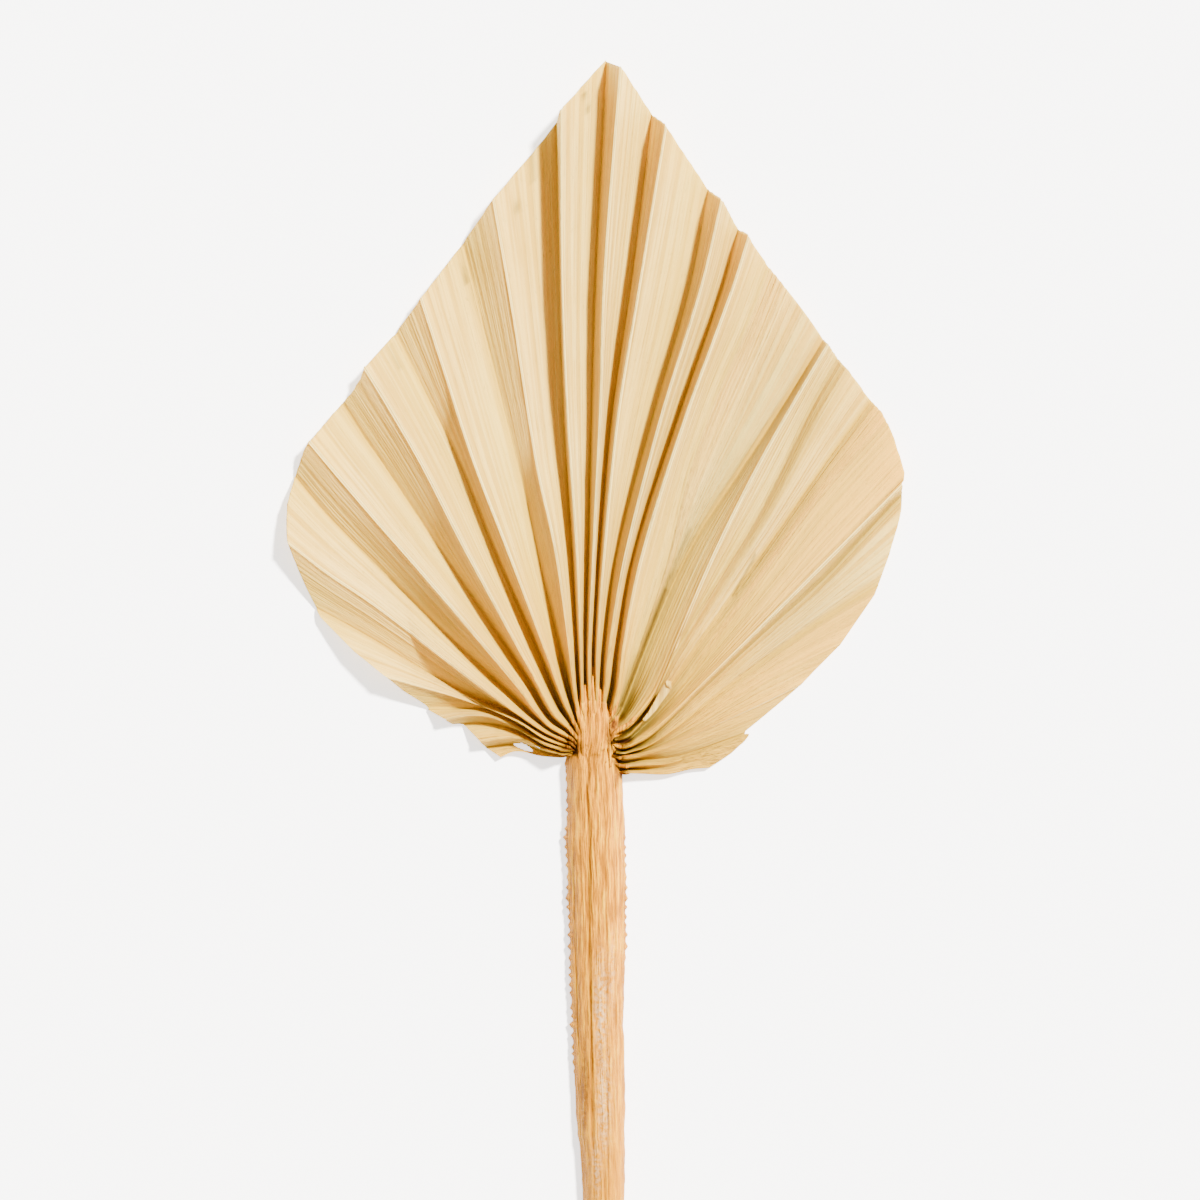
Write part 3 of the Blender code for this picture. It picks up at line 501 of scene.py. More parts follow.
def column_shares(ka, kb, gap, rib):
    """Where a panel's columns lie between its two folds, from 0 to 1, for each row."""
    steps_a = RIB_COLUMNS if ka == "R" else RIB_COLUMNS[[0, -1]] * 0.5
    steps_b = RIB_COLUMNS if kb == "R" else RIB_COLUMNS[[0, -1]] * 0.5
    first = rib[:, None] * steps_a
    last = 1 - rib[:, None] * steps_b[::-1]
    count = int(np.clip(round(gap.max() / COLUMN_PITCH), 3, 9))
    share = np.linspace(0, 1, count + 2)[None, 1:-1]
    middle = first[:, -1:] + (last[:, :1] - first[:, -1:]) * share
    return np.concatenate([first, middle, last], axis=1)


def rounded(ka, kb, g):
    """Share of the second fold's height at share g across a panel: soft folds are rounded."""
    if ka in "STE" and kb in "STE":
        return g * g * (3 - 2 * g)
    if ka in "ST":
        return 0.6 * g + 0.4 * g * g
    if kb in "ST":
        return 1 - (0.6 * (1 - g) + 0.4 * (1 - g) ** 2)
    return g


def belly(panel, g, s):
    """Soft swell of a panel at share g across it."""
    rise = np.zeros(len(g))
    for index, swell, lean in BELLIES:
        if index == panel:
            q = g ** lean
            full = np.concatenate([np.zeros(INNER_ROWS), along(s, swell)])
            rise += full * 4 * q * (1 - q)
    return rise


def beside(ka, kb, kind, first, second):
    """The greater of two values that count only where the fold on that side is of a kind."""
    return np.maximum(first * (ka == kind), second * (kb == kind))


def panel_tint_and_shade(tints_and_shade, i, u):
    """Tan tint and painted olive shade of panel i at share u across it, run together with its neighbours
    over soft folds.
    """
    own = tints_and_shade[i]
    before = 0.5 * np.clip(1 - u / SOFT_SHARE, 0, 1) * (FOLDS[i][0] in "ST")
    after = 0.5 * np.clip(1 - (1 - u) / SOFT_SHARE, 0, 1) * (FOLDS[i + 1][0] in "ST")
    return own + before * (tints_and_shade[i - 1] - own) + after * (tints_and_shade[i + 1] - own)


def column_trim(curves, ends, i, f, first):
    """Share of a column's length at which it meets the rim."""
    if FOLDS[i][0] == "E" or FOLDS[i + 1][0] == "E":
        return ends[i] * (1 - f) + ends[i + 1] * f
    if first:
        return ends[i]
    if f > 0.9999:
        return ends[i + 1]
    return rim_fraction(curves[i] * (1 - f) + curves[i + 1] * f)


def blade_columns(lines):
    """Arrays (rows x columns) of plan position, base height and the shading values."""
    curves, ends, s, plan, heights = lines
    inner, inner_heights = gathered(lines)
    plan = np.concatenate([inner, plan], axis=1)
    heights = np.concatenate([inner_heights, heights], axis=1)
    rows = INNER_ROWS + ROWS
    tints_and_shade = np.zeros((len(FOLDS) + 1, rows))
    for panel, strengths in PANEL_TINTS_AND_SHADE:
        tints_and_shade[panel] = along(np.linspace(0, 1, rows), strengths)
    tones = RNG.uniform(-1, 1, len(FOLDS))
    columns = []
    for i in range(len(FOLDS) - 1):
        ka = FOLDS[i][0]
        kb = FOLDS[i + 1][0]
        gap = np.maximum(np.linalg.norm(plan[i] - plan[i + 1], axis=1), 0.05)
        rib = np.minimum(RIB_HALF / gap, MAX_RIB_SHARE)
        steep = np.abs(heights[i] - heights[i + 1]) / gap
        thick = np.minimum(LEAF_THICK * np.sqrt(1 + steep * steep), MAX_VERTICAL_THICK)
        top = np.maximum(heights[i], heights[i + 1])
        us = column_shares(ka, kb, gap, rib)
        if i < len(FOLDS) - 2:
            us = us[:, :-1]
        for k in range(us.shape[1]):
            u = us[:, k]
            trim = column_trim(curves, ends, i, float(np.median(u)), k == 0)
            pa = np.concatenate([inner[i], pick(curves[i], s * trim)])
            pb = np.concatenate([inner[i + 1], pick(curves[i + 1], s * trim)])
            p = pa * (1 - u)[:, None] + pb * u[:, None]
            flat_a = rib * (ka == "R")
            flat_b = rib * (kb == "R")
            g = np.clip((u - flat_a) / (1 - flat_a - flat_b), 0, 1)
            share = rounded(ka, kb, g)
            z = heights[i] * (1 - share) + heights[i + 1] * share + belly(i, g, s)
            near = np.clip(beside(ka, kb, "R", 1 - u / rib, 1 - (1 - u) / rib), 0, 1)
            crest = CREST_RISE * (1 - (1 - near) ** 5)
            groove = CREST_GROOVE * np.clip(near * 2 - 1, 0, 1) ** 2
            # painted amber shade line along each valley
            line_a = np.exp(-(u * gap / VALLEY_LINE_WIDTH) ** 2)
            line_b = np.exp(-((1 - u) * gap / VALLEY_LINE_WIDTH) ** 2)
            columns.append({
                "x": p[:, 0],
                "y": p[:, 1],
                "low": z,
                "thick": thick,
                "bump": crest - groove,
                "rib": near,
                "fold": beside(ka, kb, "V", line_a, line_b),
                "depth": np.clip((top - z) / FULL_DEPTH, 0, 1),
                "tone": np.full(rows, tones[i]),
                "vein": (i + u) * GRAIN_PER_PANEL,
                "tint_and_shade": panel_tint_and_shade(tints_and_shade, i, u),
            })
    return {key: np.array([c[key] for c in columns]).T for key in columns[0]}


def in_frame(x, y, z):
    """Places in the part's frame, in metres, of points in millimetres about the hub."""
    return np.stack([(x + HUB_X) * MM, (y + HUB_Y) * MM, z * MM], -1).reshape(-1, 3)


def sheet_mesh(name, x, y, low, high, keep, values, uv):
    """A closed thin sheet over a grid: keep says which cells exist; values are per-vertex floats."""
    rows, cols = x.shape
    count = rows * cols
    co = np.concatenate([in_frame(x, y, high), in_frame(x, y, low)])
    index = np.arange(count).reshape(rows, cols)
    a = index[:-1, :-1]
    b = index[1:, :-1]
    c = index[1:, 1:]
    d = index[:-1, 1:]
    quads = [np.stack([a, d, c, b], -1)[keep], np.stack([a, b, c, d], -1)[keep] + count]
    padded = np.zeros((rows + 1, cols + 1), bool)
    padded[1:-1, 1:-1] = keep
    walls = (
        (keep & ~padded[:-2, 1:-1], a, d),
        (keep & ~padded[2:, 1:-1], c, b),
        (keep & ~padded[1:-1, :-2], b, a),
        (keep & ~padded[1:-1, 2:], d, c),
    )
    for mask, p, q in walls:
        quads.append(np.stack([p, p + count, q + count, q], -1)[mask])
    faces = np.concatenate([q.reshape(-1, 4) for q in quads])
    used = np.unique(faces)
    renumber = np.full(len(co), -1)
    renumber[used] = np.arange(len(used))
    both_sides = {k: np.concatenate([v.ravel()] * 2)[used] for k, v in values.items()}
    return make_mesh(name, co[used], renumber[faces].tolist(), both_sides,
                     np.concatenate([uv.reshape(-1, 2)] * 2)[used])


def make_mesh(name, co, faces, values, uv):
    """A smooth object with per-vertex floats and a grain map in millimetres."""
    mesh = bpy.data.meshes.new(name)
    mesh.from_pydata(co.tolist(), [], faces)
    for key, value in values.items():
        data = np.ascontiguousarray(np.broadcast_to(np.asarray(value, np.float32), (len(co),)))
        mesh.attributes.new(key, "FLOAT", "POINT").data.foreach_set("value", data)
    loops = np.empty(len(mesh.loops), int)
    mesh.loops.foreach_get("vertex_index", loops)
    layer = mesh.uv_layers.new(name="grain")
    layer.data.foreach_set("uv", np.asarray(uv, np.float32)[loops].ravel())
    mesh.polygons.foreach_set("use_smooth", np.ones(len(mesh.polygons), bool))
    mesh.update()
    obj = bpy.data.objects.new(name, mesh)
    bpy.context.scene.collection.objects.link(obj)
    return obj


def scar_field(x, y):
    """How brown the scarred places about the hub are."""
    scar = np.zeros(np.shape(x))
    for cx, cy, rx, ry, strength in SCARS:
        q = ((x - cx) / rx) ** 2 + ((y - cy) / ry) ** 2
        q = q * (1 + 0.35 * waves(31, x, y, 1.2))
        scar = np.maximum(scar, strength * np.exp(-q * q))
    return scar


def streak_and_shade_field(x, y):
    """How strong the frayed brown streaks and the painted shadow lines are."""
    streak_and_shade = np.zeros(x.shape)
    for line, width, strength in STREAKS_AND_SHADE_LINES:
        d, f = to_polyline(x, y, line)
        streak_and_shade = np.maximum(streak_and_shade, strength * np.exp(-(d / width) ** 2))
    return streak_and_shade


def shade_stripe_field(curves, x, y):
    """How strong the painted shade stripes along the folds are."""
    shade_stripe = np.zeros(x.shape)
    for i, shift, width, strengths in SHADE_STRIPES:
        line = curves[i][::30].copy()
        lead = np.gradient(line, axis=0)
        lead /= np.linalg.norm(lead, axis=1)[:, None]
        line[:, 0] += lead[:, 1] * shift
        line[:, 1] -= lead[:, 0] * shift
        d, f = to_polyline(x, y, line.tolist())
        shade_stripe = np.maximum(shade_stripe, np.exp(-(d / width) ** 2) * along(f, strengths))
    return shade_stripe


def make_blade(lines):
    """The pleated sheet, with its openings."""
    c = blade_columns(lines)
    x = c["x"]
    y = c["y"]
    reach = np.hypot(x, y)
    free = np.clip((reach - 9) / 12, 0, 1) * (1 - 0.8 * np.clip(c["rib"] * 3, 0, 1))
    wave = waves(3, c["vein"] * 0.45, reach, 16.0) * SHEET_WAVE * free
    low = np.maximum(c["low"] + wave, 0.0)
    high = low + c["thick"] + c["bump"] * np.clip(reach / 14, 0.5, 1)
    keep = np.ones((x.shape[0] - 1, x.shape[1] - 1), bool)
    mx, my = (0.25 * (v[:-1, :-1] + v[1:, :-1] + v[1:, 1:] + v[:-1, 1:]) for v in (x, y))
    for hole in HOLES:
        keep &= ~inside(hole, mx, my)
    values = {key: c[key] for key in ("fold", "rib", "depth", "tone", "tint_and_shade")}
    values["scar"] = scar_field(x, y) * np.clip(1.4 - reach / 12, 0, 1)
    values["shade_stripe"] = shade_stripe_field(lines[0], x, y)
    values["streak_and_shade"] = streak_and_shade_field(x, y)
    values["reach"] = reach / FULL_REACH
    return sheet_mesh("leaf_blade_look", x, y, low, high, keep, values, np.stack([c["vein"], reach], -1))


# ---------------------------------------------------------------- stalk
def stalk_row(y):
    """Left margin, right margin and crown height of the stalk at y."""
    ys = [s[0] for s in STALK]
    return [np.interp(y, ys, [s[k] for s in STALK]) for k in (1, 2, 3)]


def section_height(u):
    """Height of the stalk's upper face across it, from -1 to 1, as a share of the crown."""
    a = np.abs(u)
    return RIM_SHARE + (1 - RIM_SHARE) * np.clip(1 - a ** 2.3, 0, 1) ** 0.8


def stalk_plan():
    """Plan positions of the stalk's grid, with toothed margins."""
    ys = np.concatenate([np.linspace(CUT_Y, -110, 160), np.linspace(-109.6, -20, 400),
                         np.linspace(-19.8, HEAD_Y, 170)])
    us = np.sin(np.linspace(-0.5, 0.5, 97) * math.pi)
    left, right, crown = stalk_row(ys)
    pitch = (ys * TEETH_PER_MM + 0.25 * waves(11, ys, 0 * ys, 3.0)) % 1.0
    tooth = np.maximum(0, 1 - np.abs(pitch - 0.4) / 0.34) * (0.75 + 0.35 * waves(12, ys, 0 * ys, 2.0))
    left_teeth = LEFT_TOOTH * tooth * np.interp(ys, [-76, -72, -16, -12, -6], [0, 1, 1, 0.45, 0.25])
    right_teeth = RIGHT_TOOTH * tooth * np.interp(ys, [-52, -46, -25, -21], [0, 1, 1, 0])
    left = left + MARGIN_WAVE * waves(13, ys, 0 * ys, 4.0)
    right = right + MARGIN_WAVE * waves(14, ys, 0 * ys, 4.0)
    x = np.outer(0.5 * (left + right), np.ones(len(us))) + np.outer(0.5 * (right - left), us)
    edge = np.clip((np.abs(us) - TOOTH_ROOT) / (1 - TOOTH_ROOT), 0, 1)
    x += np.outer(right_teeth, edge * (us > 0)) - np.outer(left_teeth, edge * (us < 0))
    y, u = np.meshgrid(ys, us, indexing="ij")
    return x, y, u, crown


def stalk_surface():
    """Grid of the stalk's upper face, with its creases and swellings, and the shading values."""
    x, y, u, crown = stalk_plan()
    z = section_height(u) * crown[:, None]
    z = z * np.interp(y, [4.0, HEAD_Y], [1.0, 0.8])
    inner = 1 - np.abs(u) ** 6
    z += 0.10 * waves(21, u * 9, y * 0.05, 0.9, 4) * inner
    z += 0.16 * waves(22, u * 5, y * 0.08, 1.4, 3) * inner
    # painted shade in the creases, stronger the deeper the crease
    streak_and_shade = np.zeros(x.shape)
    for line, width, deep in GROOVES:
        d, f = to_polyline(x, y, line)
        ends = np.clip(np.minimum(f, 1 - f) * 8, 0.15, 1)
        hit = np.exp(-(d / width) ** 2) * ends
        z -= deep * hit
        streak_and_shade = np.maximum(streak_and_shade, hit * min(1.0, deep / 0.6))
    for line, width, tall in SWELLS:
        d, f = to_polyline(x, y, line)
        z += tall * np.exp(-(d / width) ** 2)
    scar = scar_field(x, y)
    z += scar * 0.22 * waves(32, x, y, 0.9, 3)
    scuff = np.zeros(x.shape)
    for cx, cy, rx, ry, strength in SCUFFS:
        q = ((x - cx) / rx) ** 2 + ((y - cy) / ry) ** 2
        scuff = np.maximum(scuff, strength * np.exp(-q))
    return x, y, z, {"streak_and_shade": streak_and_shade, "scar": scar, "scuff": scuff, "edge": np.abs(u), "reach": -y / 100.0}


def make_stalk():
    """The stalk, flat below, its columns turned round so that its faces point out."""
    x, y, z, values = stalk_surface()
    high = np.maximum(z, LEAST_HEIGHT)
    u = np.linspace(-1, 1, x.shape[1])[None, :]
    low = np.minimum(LEAST_HEIGHT * np.abs(u) ** 8, high - LEAST_THICK)
    keep = np.ones((x.shape[0] - 1, x.shape[1] - 1), bool)
    uv = np.stack([x - x.mean(axis=1)[:, None], y], -1)
    turned = {key: value[:, ::-1] for key, value in values.items()}
    return sheet_mesh("petiole_look", x[:, ::-1], y[:, ::-1], low[:, ::-1], high[:, ::-1], keep,
                      turned, uv[:, ::-1])


# ---------------------------------------------------------------- strands
def tube(path, radii, flat):
    """Vertices and faces of a closed tapering tube along 3-D points in mm."""
    p = np.array(path, float)
    n = len(p)
    sides = STRAND_SIDES
    tangent = np.gradient(p, axis=0)
    tangent /= np.linalg.norm(tangent, axis=1)[:, None]
    across = np.cross(tangent, [0.0, 0.0, 1.0])
    across /= np.maximum(np.linalg.norm(across, axis=1), 1e-6)[:, None]
    up = np.cross(across, tangent)
    ang = np.linspace(0, 2 * math.pi, sides, endpoint=False)
    ring = (p[:, None, :] + across[:, None, :] * (np.cos(ang)[None, :, None] * radii[:, None, None])
            + up[:, None, :] * (np.sin(ang)[None, :, None] * radii[:, None, None] * flat))
    co = ring.reshape(-1, 3)
    faces = []
    for j in range(n - 1):
        for i in range(sides):
            k = (i + 1) % sides
            faces.append((j * sides + i, j * sides + k, (j + 1) * sides + k, (j + 1) * sides + i))
    first = len(co)
    co = np.concatenate([co, p[:1], p[-1:]])
    for i in range(sides):
        k = (i + 1) % sides
        faces.append((first, k, i, i))
        faces.append((first + 1, (n - 1) * sides + i, (n - 1) * sides + k, (n - 1) * sides + k))
    return co, faces


def rib_foot(lines, i, row):
    """Point on top of rib i at one of the blade's rows."""
    plan, heights = lines[3:]
    return np.array([plan[i][row][0], plan[i][row][1], heights[i][row]])


def tube_object(name, tubes, values):
    """One mesh of closed tapering tubes: (points, radii, flatness)."""
    parts = []
    faces = []
    total = 0
    t = np.linspace(0, 1, STRAND_ROWS)
    for k, (path, radii, flat) in enumerate(tubes):
        line = dense(path, STRAND_ROWS)
        line[:, 0] += STRAND_WAVE * waves(k + 5, line[:, 1], 0 * t, 2.5)
        uneven = 1 + STRAND_WAVE * waves(k + 40, line[:, 1], 0 * t, 1.5)
        co, quads = tube(line, along(t, radii) * uneven, flat)
        parts.append(co)
        faces += [list(dict.fromkeys(v + total for v in quad)) for quad in quads]
        total += len(co)
    co = np.concatenate(parts)
    x = co[:, 0]
    y = co[:, 1]
    place = in_frame(x, y, np.maximum(co[:, 2], 0.05))
    return make_mesh(name, place, faces, values(x, y), np.stack([x, y], -1))


def make_roots(lines):
    """The tongue of the stalk, and strands that carry the ribs into its head."""
    tubes = list(STRANDS)
    for start, ctrl, i, radius in ROOTS:
        a = rib_foot(lines, i, 0) + [0, 0, 0.75]
        b = rib_foot(lines, i, 9) + [0, 0, 0.6]
        c = rib_foot(lines, i, 18) + [0, 0, 0.1]
        path = [np.array(start) - [0, 0, 0.5], np.array(ctrl) - [0, 0, 0.9], a, b, c]
        tubes.append((path, [radius * k for k in (0.25, 0.9, 1.0, 0.9, 0.5)], 0.9))
    return tube_object("rib_roots_look", tubes, lambda x, y: {
        "streak_and_shade": 0.0, "scuff": 0.0, "edge": 0.0, "reach": -y / 100, "scar": scar_field(x, y)})


def make_flap():
    """The torn flap by the hub, and a small lifted thread."""
    return tube_object("torn_flap_look", FLAP, lambda x, y: {"reach": 0.4})


# ---------------------------------------------------------------- materials
def rgb(r, g, b):
    return (r, g, b, 1.0)


# leaf sheet
CREAM = rgb(0.90, 0.67, 0.19)
WARM = rgb(0.84, 0.58, 0.11)
TAN = rgb(0.86, 0.49, 0.055)
# painted olive shade for panels
OLIVE_SHADE = rgb(0.56, 0.46, 0.13)
VEIN = rgb(0.66, 0.41, 0.06)
# painted amber shade in the valleys
VALLEY_SHADE = rgb(0.66, 0.52, 0.055)
# painted warm shade for the deep gaps near the hub
HUB_GAP_SHADE = rgb(0.78, 0.50, 0.02)
# painted brown shade for the deep folds about the hub
HUB_SHADE = rgb(0.22, 0.085, 0.003)
# near-black painted shadow for the deepest folds at the hub
HUB_SHADOW = rgb(0.004, 0.0015, 0.0005)
SPECK = rgb(0.30, 0.19, 0.035)
# painted shade along the folds
STRIPE_SHADE = rgb(0.48, 0.32, 0.04)
# painted amber shade along the valleys
VALLEY_LINE_SHADE = rgb(0.66, 0.41, 0.03)
# painted shade for the edges of the ribs
RIB_EDGE_SHADE = rgb(0.60, 0.35, 0.03)
# painted highlight for the rib crests
RIB_HIGHLIGHT = rgb(0.98, 0.78, 0.26)
# painted shade for the groove along each rib
RIB_GROOVE_SHADE = rgb(0.46, 0.27, 0.03)
RIB_FOOT = rgb(0.80, 0.46, 0.02)
# brown streaks, and painted shadow lines by the hub
STREAK_AND_SHADE = rgb(0.12, 0.065, 0.012)
THROUGH = rgb(1.0, 0.96, 0.25)

# stalk
STALK_DARK = rgb(0.57, 0.21, 0.0)
STALK_LIGHT = rgb(0.74, 0.28, 0.0)
STALK_LOWER = rgb(0.44, 0.17, 0.0)
FIBRE_DARK = rgb(0.30, 0.10, 0.0)
FIBRE_LIGHT = rgb(0.86, 0.43, 0.005)
MARGIN = rgb(0.32, 0.11, 0.0)
TONGUE = rgb(0.78, 0.36, 0.01)
SCUFF = rgb(0.62, 0.42, 0.22)
# painted shade for the stalk's creases
CREASE_SHADE = rgb(0.06, 0.018, 0.002)

# both
SCAR = rgb(0.06, 0.014, 0.005)
SHEEN = rgb(1.0, 0.6, 0.08)


class Nodes:
    """Small helper to build a node tree."""

    def __init__(self, name):
        self.mat = bpy.data.materials.new(name)
        self.mat.use_nodes = True
        self.tree = self.mat.node_tree
        self.tree.nodes.clear()

    def new(self, kind, **settings):
        node = self.tree.nodes.new(kind)
        for key, value in settings.items():
            setattr(node, key, value)
        return node

    def put(self, socket, value):
        if isinstance(value, bpy.types.NodeSocket):
            self.tree.links.new(value, socket)
        else:
            socket.default_value = value

    def attr(self, name):
        return self.new("ShaderNodeAttribute", attribute_name=name).outputs["Fac"]

    def math(self, operation, a, b):
        node = self.new("ShaderNodeMath", operation=operation)
        self.put(node.inputs[0], a)
        self.put(node.inputs[1], b)
        return node.outputs[0]

    def product(self, a, b):
        return self.math("MULTIPLY", a, b)

    def span(self, value, lo, hi, out_lo=0.0, out_hi=1.0):
        node = self.new("ShaderNodeMapRange", clamp=True)
        self.put(node.inputs["Value"], value)
        node.inputs["From Min"].default_value = lo
        node.inputs["From Max"].default_value = hi
        node.inputs["To Min"].default_value = out_lo
        node.inputs["To Max"].default_value = out_hi
        return node.outputs["Result"]

    def mix(self, factor, a, b, blend="MIX"):
        node = self.new("ShaderNodeMix", data_type="RGBA", blend_type=blend)
        self.put(node.inputs[0], factor)
        self.put(node.inputs[6], a)
        self.put(node.inputs[7], b)
        return node.outputs[2]

    def layers(self, base, coats):
        """Colour coats laid over each other: (how much, colour)."""
        for factor, colour in coats:
            base = self.mix(factor, base, colour)
        return base

    def grain(self, scale_x, scale_y, scale=1.0, detail=3.0, rough=0.55):
        """Noise stretched along the grain; the grain map is in millimetres."""
        uv = self.new("ShaderNodeUVMap", uv_map="grain").outputs[0]
        mapping = self.new("ShaderNodeMapping")
        self.put(mapping.inputs["Vector"], uv)
        mapping.inputs["Scale"].default_value = (scale_x, scale_y, 1.0)
        noise = self.new("ShaderNodeTexNoise", noise_dimensions="2D")
        self.put(noise.inputs["Vector"], mapping.outputs[0])
        noise.inputs["Scale"].default_value = scale
        noise.inputs["Detail"].default_value = detail
        noise.inputs["Roughness"].default_value = rough
        return noise.outputs["Fac"]

    def bump(self, height, distance, strength=1.0, normal=None):
        node = self.new("ShaderNodeBump")
        self.put(node.inputs["Height"], height)
        node.inputs["Distance"].default_value = distance
        node.inputs["Strength"].default_value = strength
        if normal is not None:
            self.put(node.inputs["Normal"], normal)
        return node.outputs[0]


def leaf_material():
    """Dry leaf sheet: cream panels and tan grain, with painted amber shade in the folds, painted brown
    shade and shadow in the hollows about the hub, and painted highlights on the rib crests.
    """
    n = Nodes("dried_leaf_look")
    rib = n.attr("rib")
    depth = n.attr("depth")
    reach = n.attr("reach")
    tint_and_shade = n.attr("tint_and_shade")
    fine = n.grain(1.9, 0.03, 1.0, 4.0)
    veins = n.grain(0.8, 0.008, 1.0, 3.0)
    cloud = n.grain(0.10, 0.05, 1.0, 3.0)
    speck = n.grain(1.6, 0.5, 1.0, 4.0)
    # painted amber shade, stronger the deeper the sheet lies below the panel's top
    deep = n.product(n.product(n.span(depth, 0.05, 0.95), n.span(reach, 0.05, 1.0, 1.0, 0.55)), 0.5)
    # painted warm shade in the deep gaps near the hub, with a weaker golden tone on the shallow parts there
    near = n.product(n.span(reach, 0.055, 0.40, 1.0, 0.0), n.span(depth, 0.0, 0.5, 0.25, 1.0))
    # painted brown shade in the deep folds about the hub
    brown = n.product(n.span(reach, 0.05, 0.14, 1.0, 0.0), n.span(depth, 0.12, 0.5))
    # near-black painted shadow deep in the folds right at the hub
    hub_shadow_mask = n.product(n.span(reach, 0.05, 0.09, 1.0, 0.0), n.span(depth, 0.15, 0.7))
    stem = n.product(n.span(reach, 0.07, 0.30, 1.0, 0.0), n.span(depth, 0.0, 0.3, 1.0, 0.0))
    scar = n.product(n.attr("scar"), n.span(speck, 0.3, 0.6, 0.7, 1.0))
    base = n.layers(CREAM, (
        (n.span(cloud, 0.35, 0.7, 0.0, 0.75), WARM),
        (n.span(n.attr("tone"), -1.0, 1.0, 0.0, 0.35), WARM),
        (n.span(tint_and_shade, 0.0, 1.0, 0.0, 0.85), TAN),
        # painted olive shade on panels with a negative value
        (n.span(tint_and_shade, 0.0, -1.0, 0.0, 0.8), OLIVE_SHADE),
        (n.span(veins, 0.45, 0.62, 0.0, 0.75), VEIN),
        (n.span(fine, 0.48, 0.7, 0.0, 0.7), VEIN),
        (deep, VALLEY_SHADE),
        (n.product(near, 0.75), HUB_GAP_SHADE),
        (brown, HUB_SHADE),
        (hub_shadow_mask, HUB_SHADOW),
        (n.span(speck, 0.66, 0.8, 0.0, 0.35), SPECK),
        # painted shade stripes along the folds
        (n.attr("shade_stripe"), STRIPE_SHADE),
        # painted amber shade line along each valley
        (n.product(n.attr("fold"), 0.85), VALLEY_LINE_SHADE),
        # painted shade at the rib edges
        (n.span(rib, 0.0, 0.12, 0.0, 0.8), RIB_EDGE_SHADE),
        # painted highlight on the rib crests
        (n.span(rib, 0.15, 0.35, 0.0, 1.0), RIB_HIGHLIGHT),
        # painted shade in the groove along each rib
        (n.span(rib, 0.7, 0.95, 0.0, 0.55), RIB_GROOVE_SHADE),
        (stem, RIB_FOOT),
        (scar, SCAR),
        # frayed brown streaks, and painted shadow lines by the hub
        (n.attr("streak_and_shade"), STREAK_AND_SHADE),
    ))
    height = n.math("ADD", n.product(fine, 0.6), n.product(veins, 0.8))
    normal = n.bump(height, 0.0007, 0.9)
    normal = n.bump(speck, 0.0002, 0.7, normal)
    shader = n.new("ShaderNodeBsdfPrincipled")
    n.put(shader.inputs["Base Color"], base)
    n.put(shader.inputs["Normal"], normal)
    shader.inputs["Roughness"].default_value = 0.55
    shader.inputs["Specular IOR Level"].default_value = 0.08
    shader.inputs["Specular Tint"].default_value = SHEEN
    through = n.new("ShaderNodeBsdfTranslucent")
    n.put(through.inputs["Color"], n.mix(0.8, base, THROUGH, "MULTIPLY"))
    n.put(through.inputs["Normal"], normal)
    both = n.new("ShaderNodeMixShader")
    both.inputs[0].default_value = 0.38
    n.put(both.inputs[1], shader.outputs[0])
    n.put(both.inputs[2], through.outputs[0])
    out = n.new("ShaderNodeOutputMaterial")
    n.put(out.inputs["Surface"], both.outputs[0])
    return n.mat


def stalk_material():
    """Dry fibrous stalk with brown scars, pale scuffs and painted shade in its creases."""
    n = Nodes("dried_stalk_look")
    reach = n.attr("reach")
    fibre = n.grain(2.2, 0.12, 1.0, 5.0, 0.6)
    broad = n.grain(0.7, 0.04, 1.0, 3.0)
    speck = n.grain(1.2, 1.0, 1.0, 5.0, 0.65)
    base = n.layers(STALK_DARK, (
        (n.span(broad, 0.3, 0.7), STALK_LIGHT),
        (n.span(fibre, 0.47, 0.60, 0.0, 0.85), FIBRE_DARK),
        (n.span(fibre, 0.34, 0.46, 0.8, 0.0), FIBRE_LIGHT),
        (n.span(reach, 0.4, 1.0, 0.0, 0.6), STALK_LOWER),
        (n.span(n.attr("edge"), 0.8, 1.0, 0.0, 0.5), MARGIN),
        (n.span(reach, -0.05, -0.17, 0.0, 0.7), TONGUE),
        (n.product(n.attr("scuff"), n.span(speck, 0.4, 0.6)), SCUFF),
        # painted shade in the creases
        (n.product(n.attr("streak_and_shade"), 0.7), CREASE_SHADE),
        (n.product(n.attr("scar"), n.span(speck, 0.3, 0.6, 0.6, 1.0)), SCAR),
    ))
    height = n.math("ADD", fibre, n.product(speck, 0.25))
    normal = n.bump(height, 0.0009, 1.0)
    shader = n.new("ShaderNodeBsdfPrincipled")
    n.put(shader.inputs["Base Color"], base)
    n.put(shader.inputs["Normal"], normal)
    shader.inputs["Roughness"].default_value = 0.48
    shader.inputs["Specular IOR Level"].default_value = 0.08
    shader.inputs["Specular Tint"].default_value = SHEEN
    out = n.new("ShaderNodeOutputMaterial")
    n.put(out.inputs["Surface"], shader.outputs[0])
    return n.mat


def floor_material():
    """Matt white that glows a little, so that it stays pale."""
    n = Nodes("pale_floor")
    shader = n.new("ShaderNodeBsdfPrincipled")
    shader.inputs["Base Color"].default_value = rgb(0.97, 0.97, 0.97)
    shader.inputs["Roughness"].default_value = 0.9
    shader.inputs["Specular IOR Level"].default_value = 0.0
    shader.inputs["Emission Color"].default_value = rgb(1.0, 1.0, 1.0)
    shader.inputs["Emission Strength"].default_value = 1.6
    out = n.new("ShaderNodeOutputMaterial")
    n.put(out.inputs["Surface"], shader.outputs[0])
    return n.mat


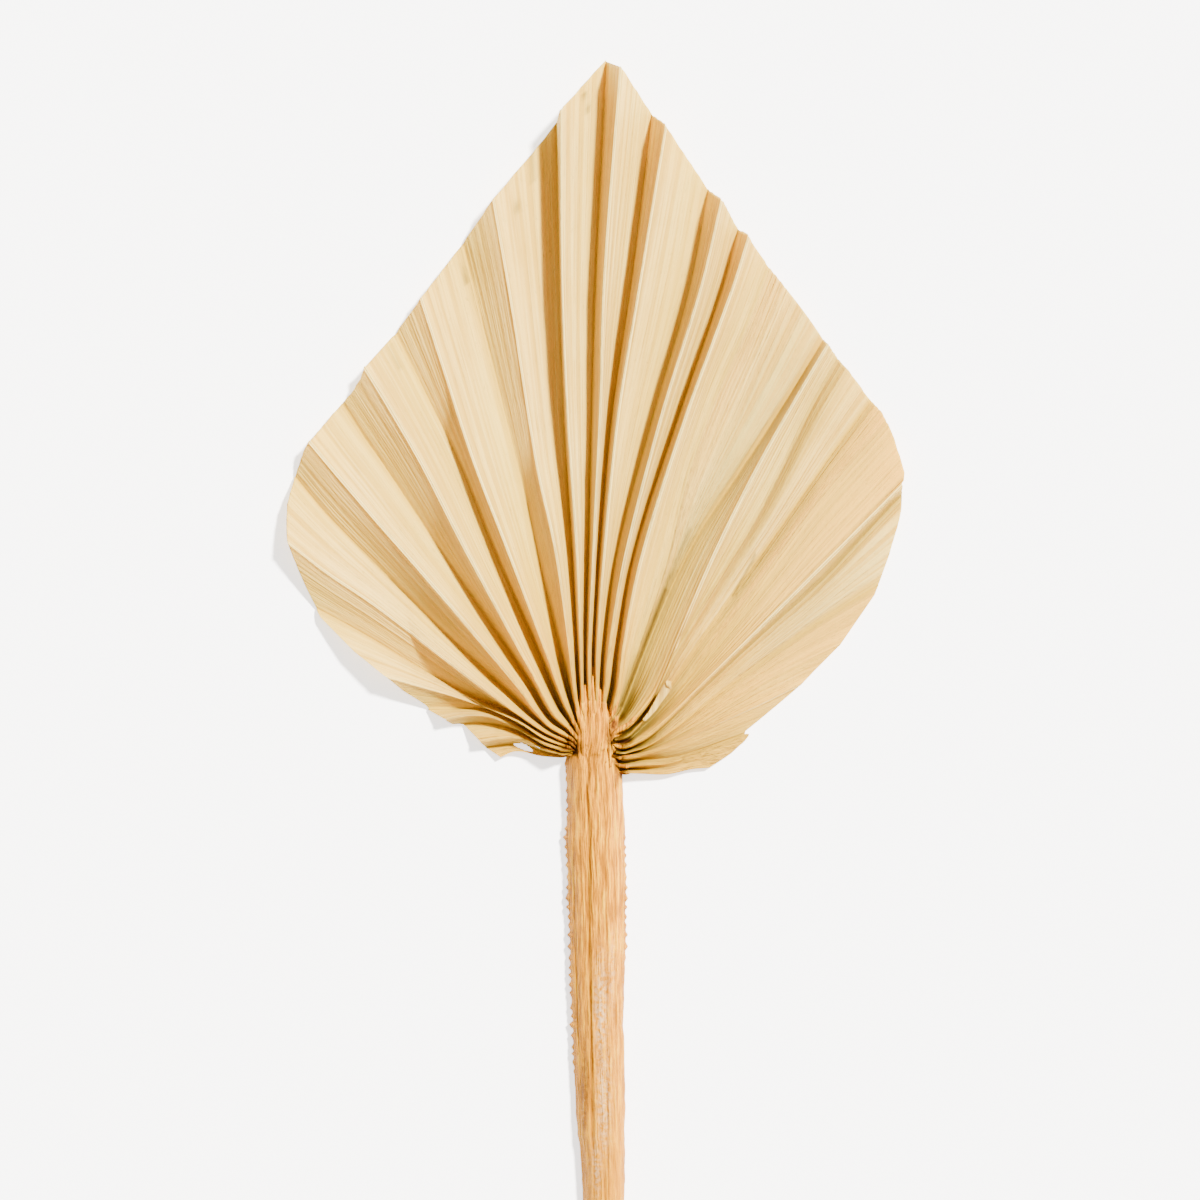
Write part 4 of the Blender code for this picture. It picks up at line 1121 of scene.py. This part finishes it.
# ---------------------------------------------------------------- setting
def make_floor():
    """A plain pale floor."""
    mesh = bpy.data.meshes.new("floor")
    r = FLOOR_HALF
    corners = [(-r, -r), (r, -r), (r, r), (-r, r)]
    mesh.from_pydata([(x, y, -FLOOR_DROP) for x, y in corners], [], [(0, 1, 2, 3)])
    obj = bpy.data.objects.new("floor", mesh)
    obj.data.materials.append(floor_material())
    bpy.context.scene.collection.objects.link(obj)


def make_lights():
    """A large soft key light from the upper right, and an even studio fill."""
    sun = bpy.data.lights.new("key", "SUN")
    sun.energy = KEY_ENERGY
    sun.angle = math.radians(KEY_SIZE)
    sun.color = (1.0, 0.97, 0.93)
    key = bpy.data.objects.new("key", sun)
    az = math.radians(KEY_AZ)
    el = math.radians(KEY_EL)
    away = Vector((math.cos(az) * math.cos(el), math.sin(az) * math.cos(el), math.sin(el)))
    key.rotation_euler = away.to_track_quat("Z", "Y").to_euler()
    bpy.context.scene.collection.objects.link(key)
    world = bpy.data.worlds.new("studio")
    world.use_nodes = True
    back = world.node_tree.nodes["Background"]
    back.inputs["Color"].default_value = (1.0, 0.985, 0.96, 1.0)
    back.inputs["Strength"].default_value = FILL
    bpy.context.scene.world = world


def make_camera():
    """The camera, looking straight down on the leaf."""
    data = bpy.data.cameras.new("camera")
    data.lens = LENS
    data.sensor_width = SENSOR
    data.clip_start = 0.01
    data.clip_end = 50.0
    camera = bpy.data.objects.new("camera", data)
    distance = VIEW_WIDTH * MM * LENS / SENSOR
    camera.location = ((VIEW_X + HUB_X) * MM, (VIEW_Y + HUB_Y) * MM, distance + 0.005)
    camera.rotation_euler = (0.0, 0.0, 0.0)
    bpy.context.scene.collection.objects.link(camera)
    bpy.context.scene.camera = camera


def main():
    """Build, dress and place every piece."""
    lines = fold_lines()
    leaf = leaf_material()
    wood = stalk_material()

    blade = make_blade(lines)
    blade.data.materials.append(leaf)
    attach(blade, "root")
    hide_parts("leaf_blade")

    stalk = make_stalk()
    stalk.data.materials.append(wood)
    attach(stalk, "root")
    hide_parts("petiole")

    roots = make_roots(lines)
    roots.data.materials.append(wood)
    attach(roots, "root")

    flap = make_flap()
    flap.data.materials.append(leaf)
    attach(flap, "root")

    make_floor()
    make_lights()
    make_camera()


main()
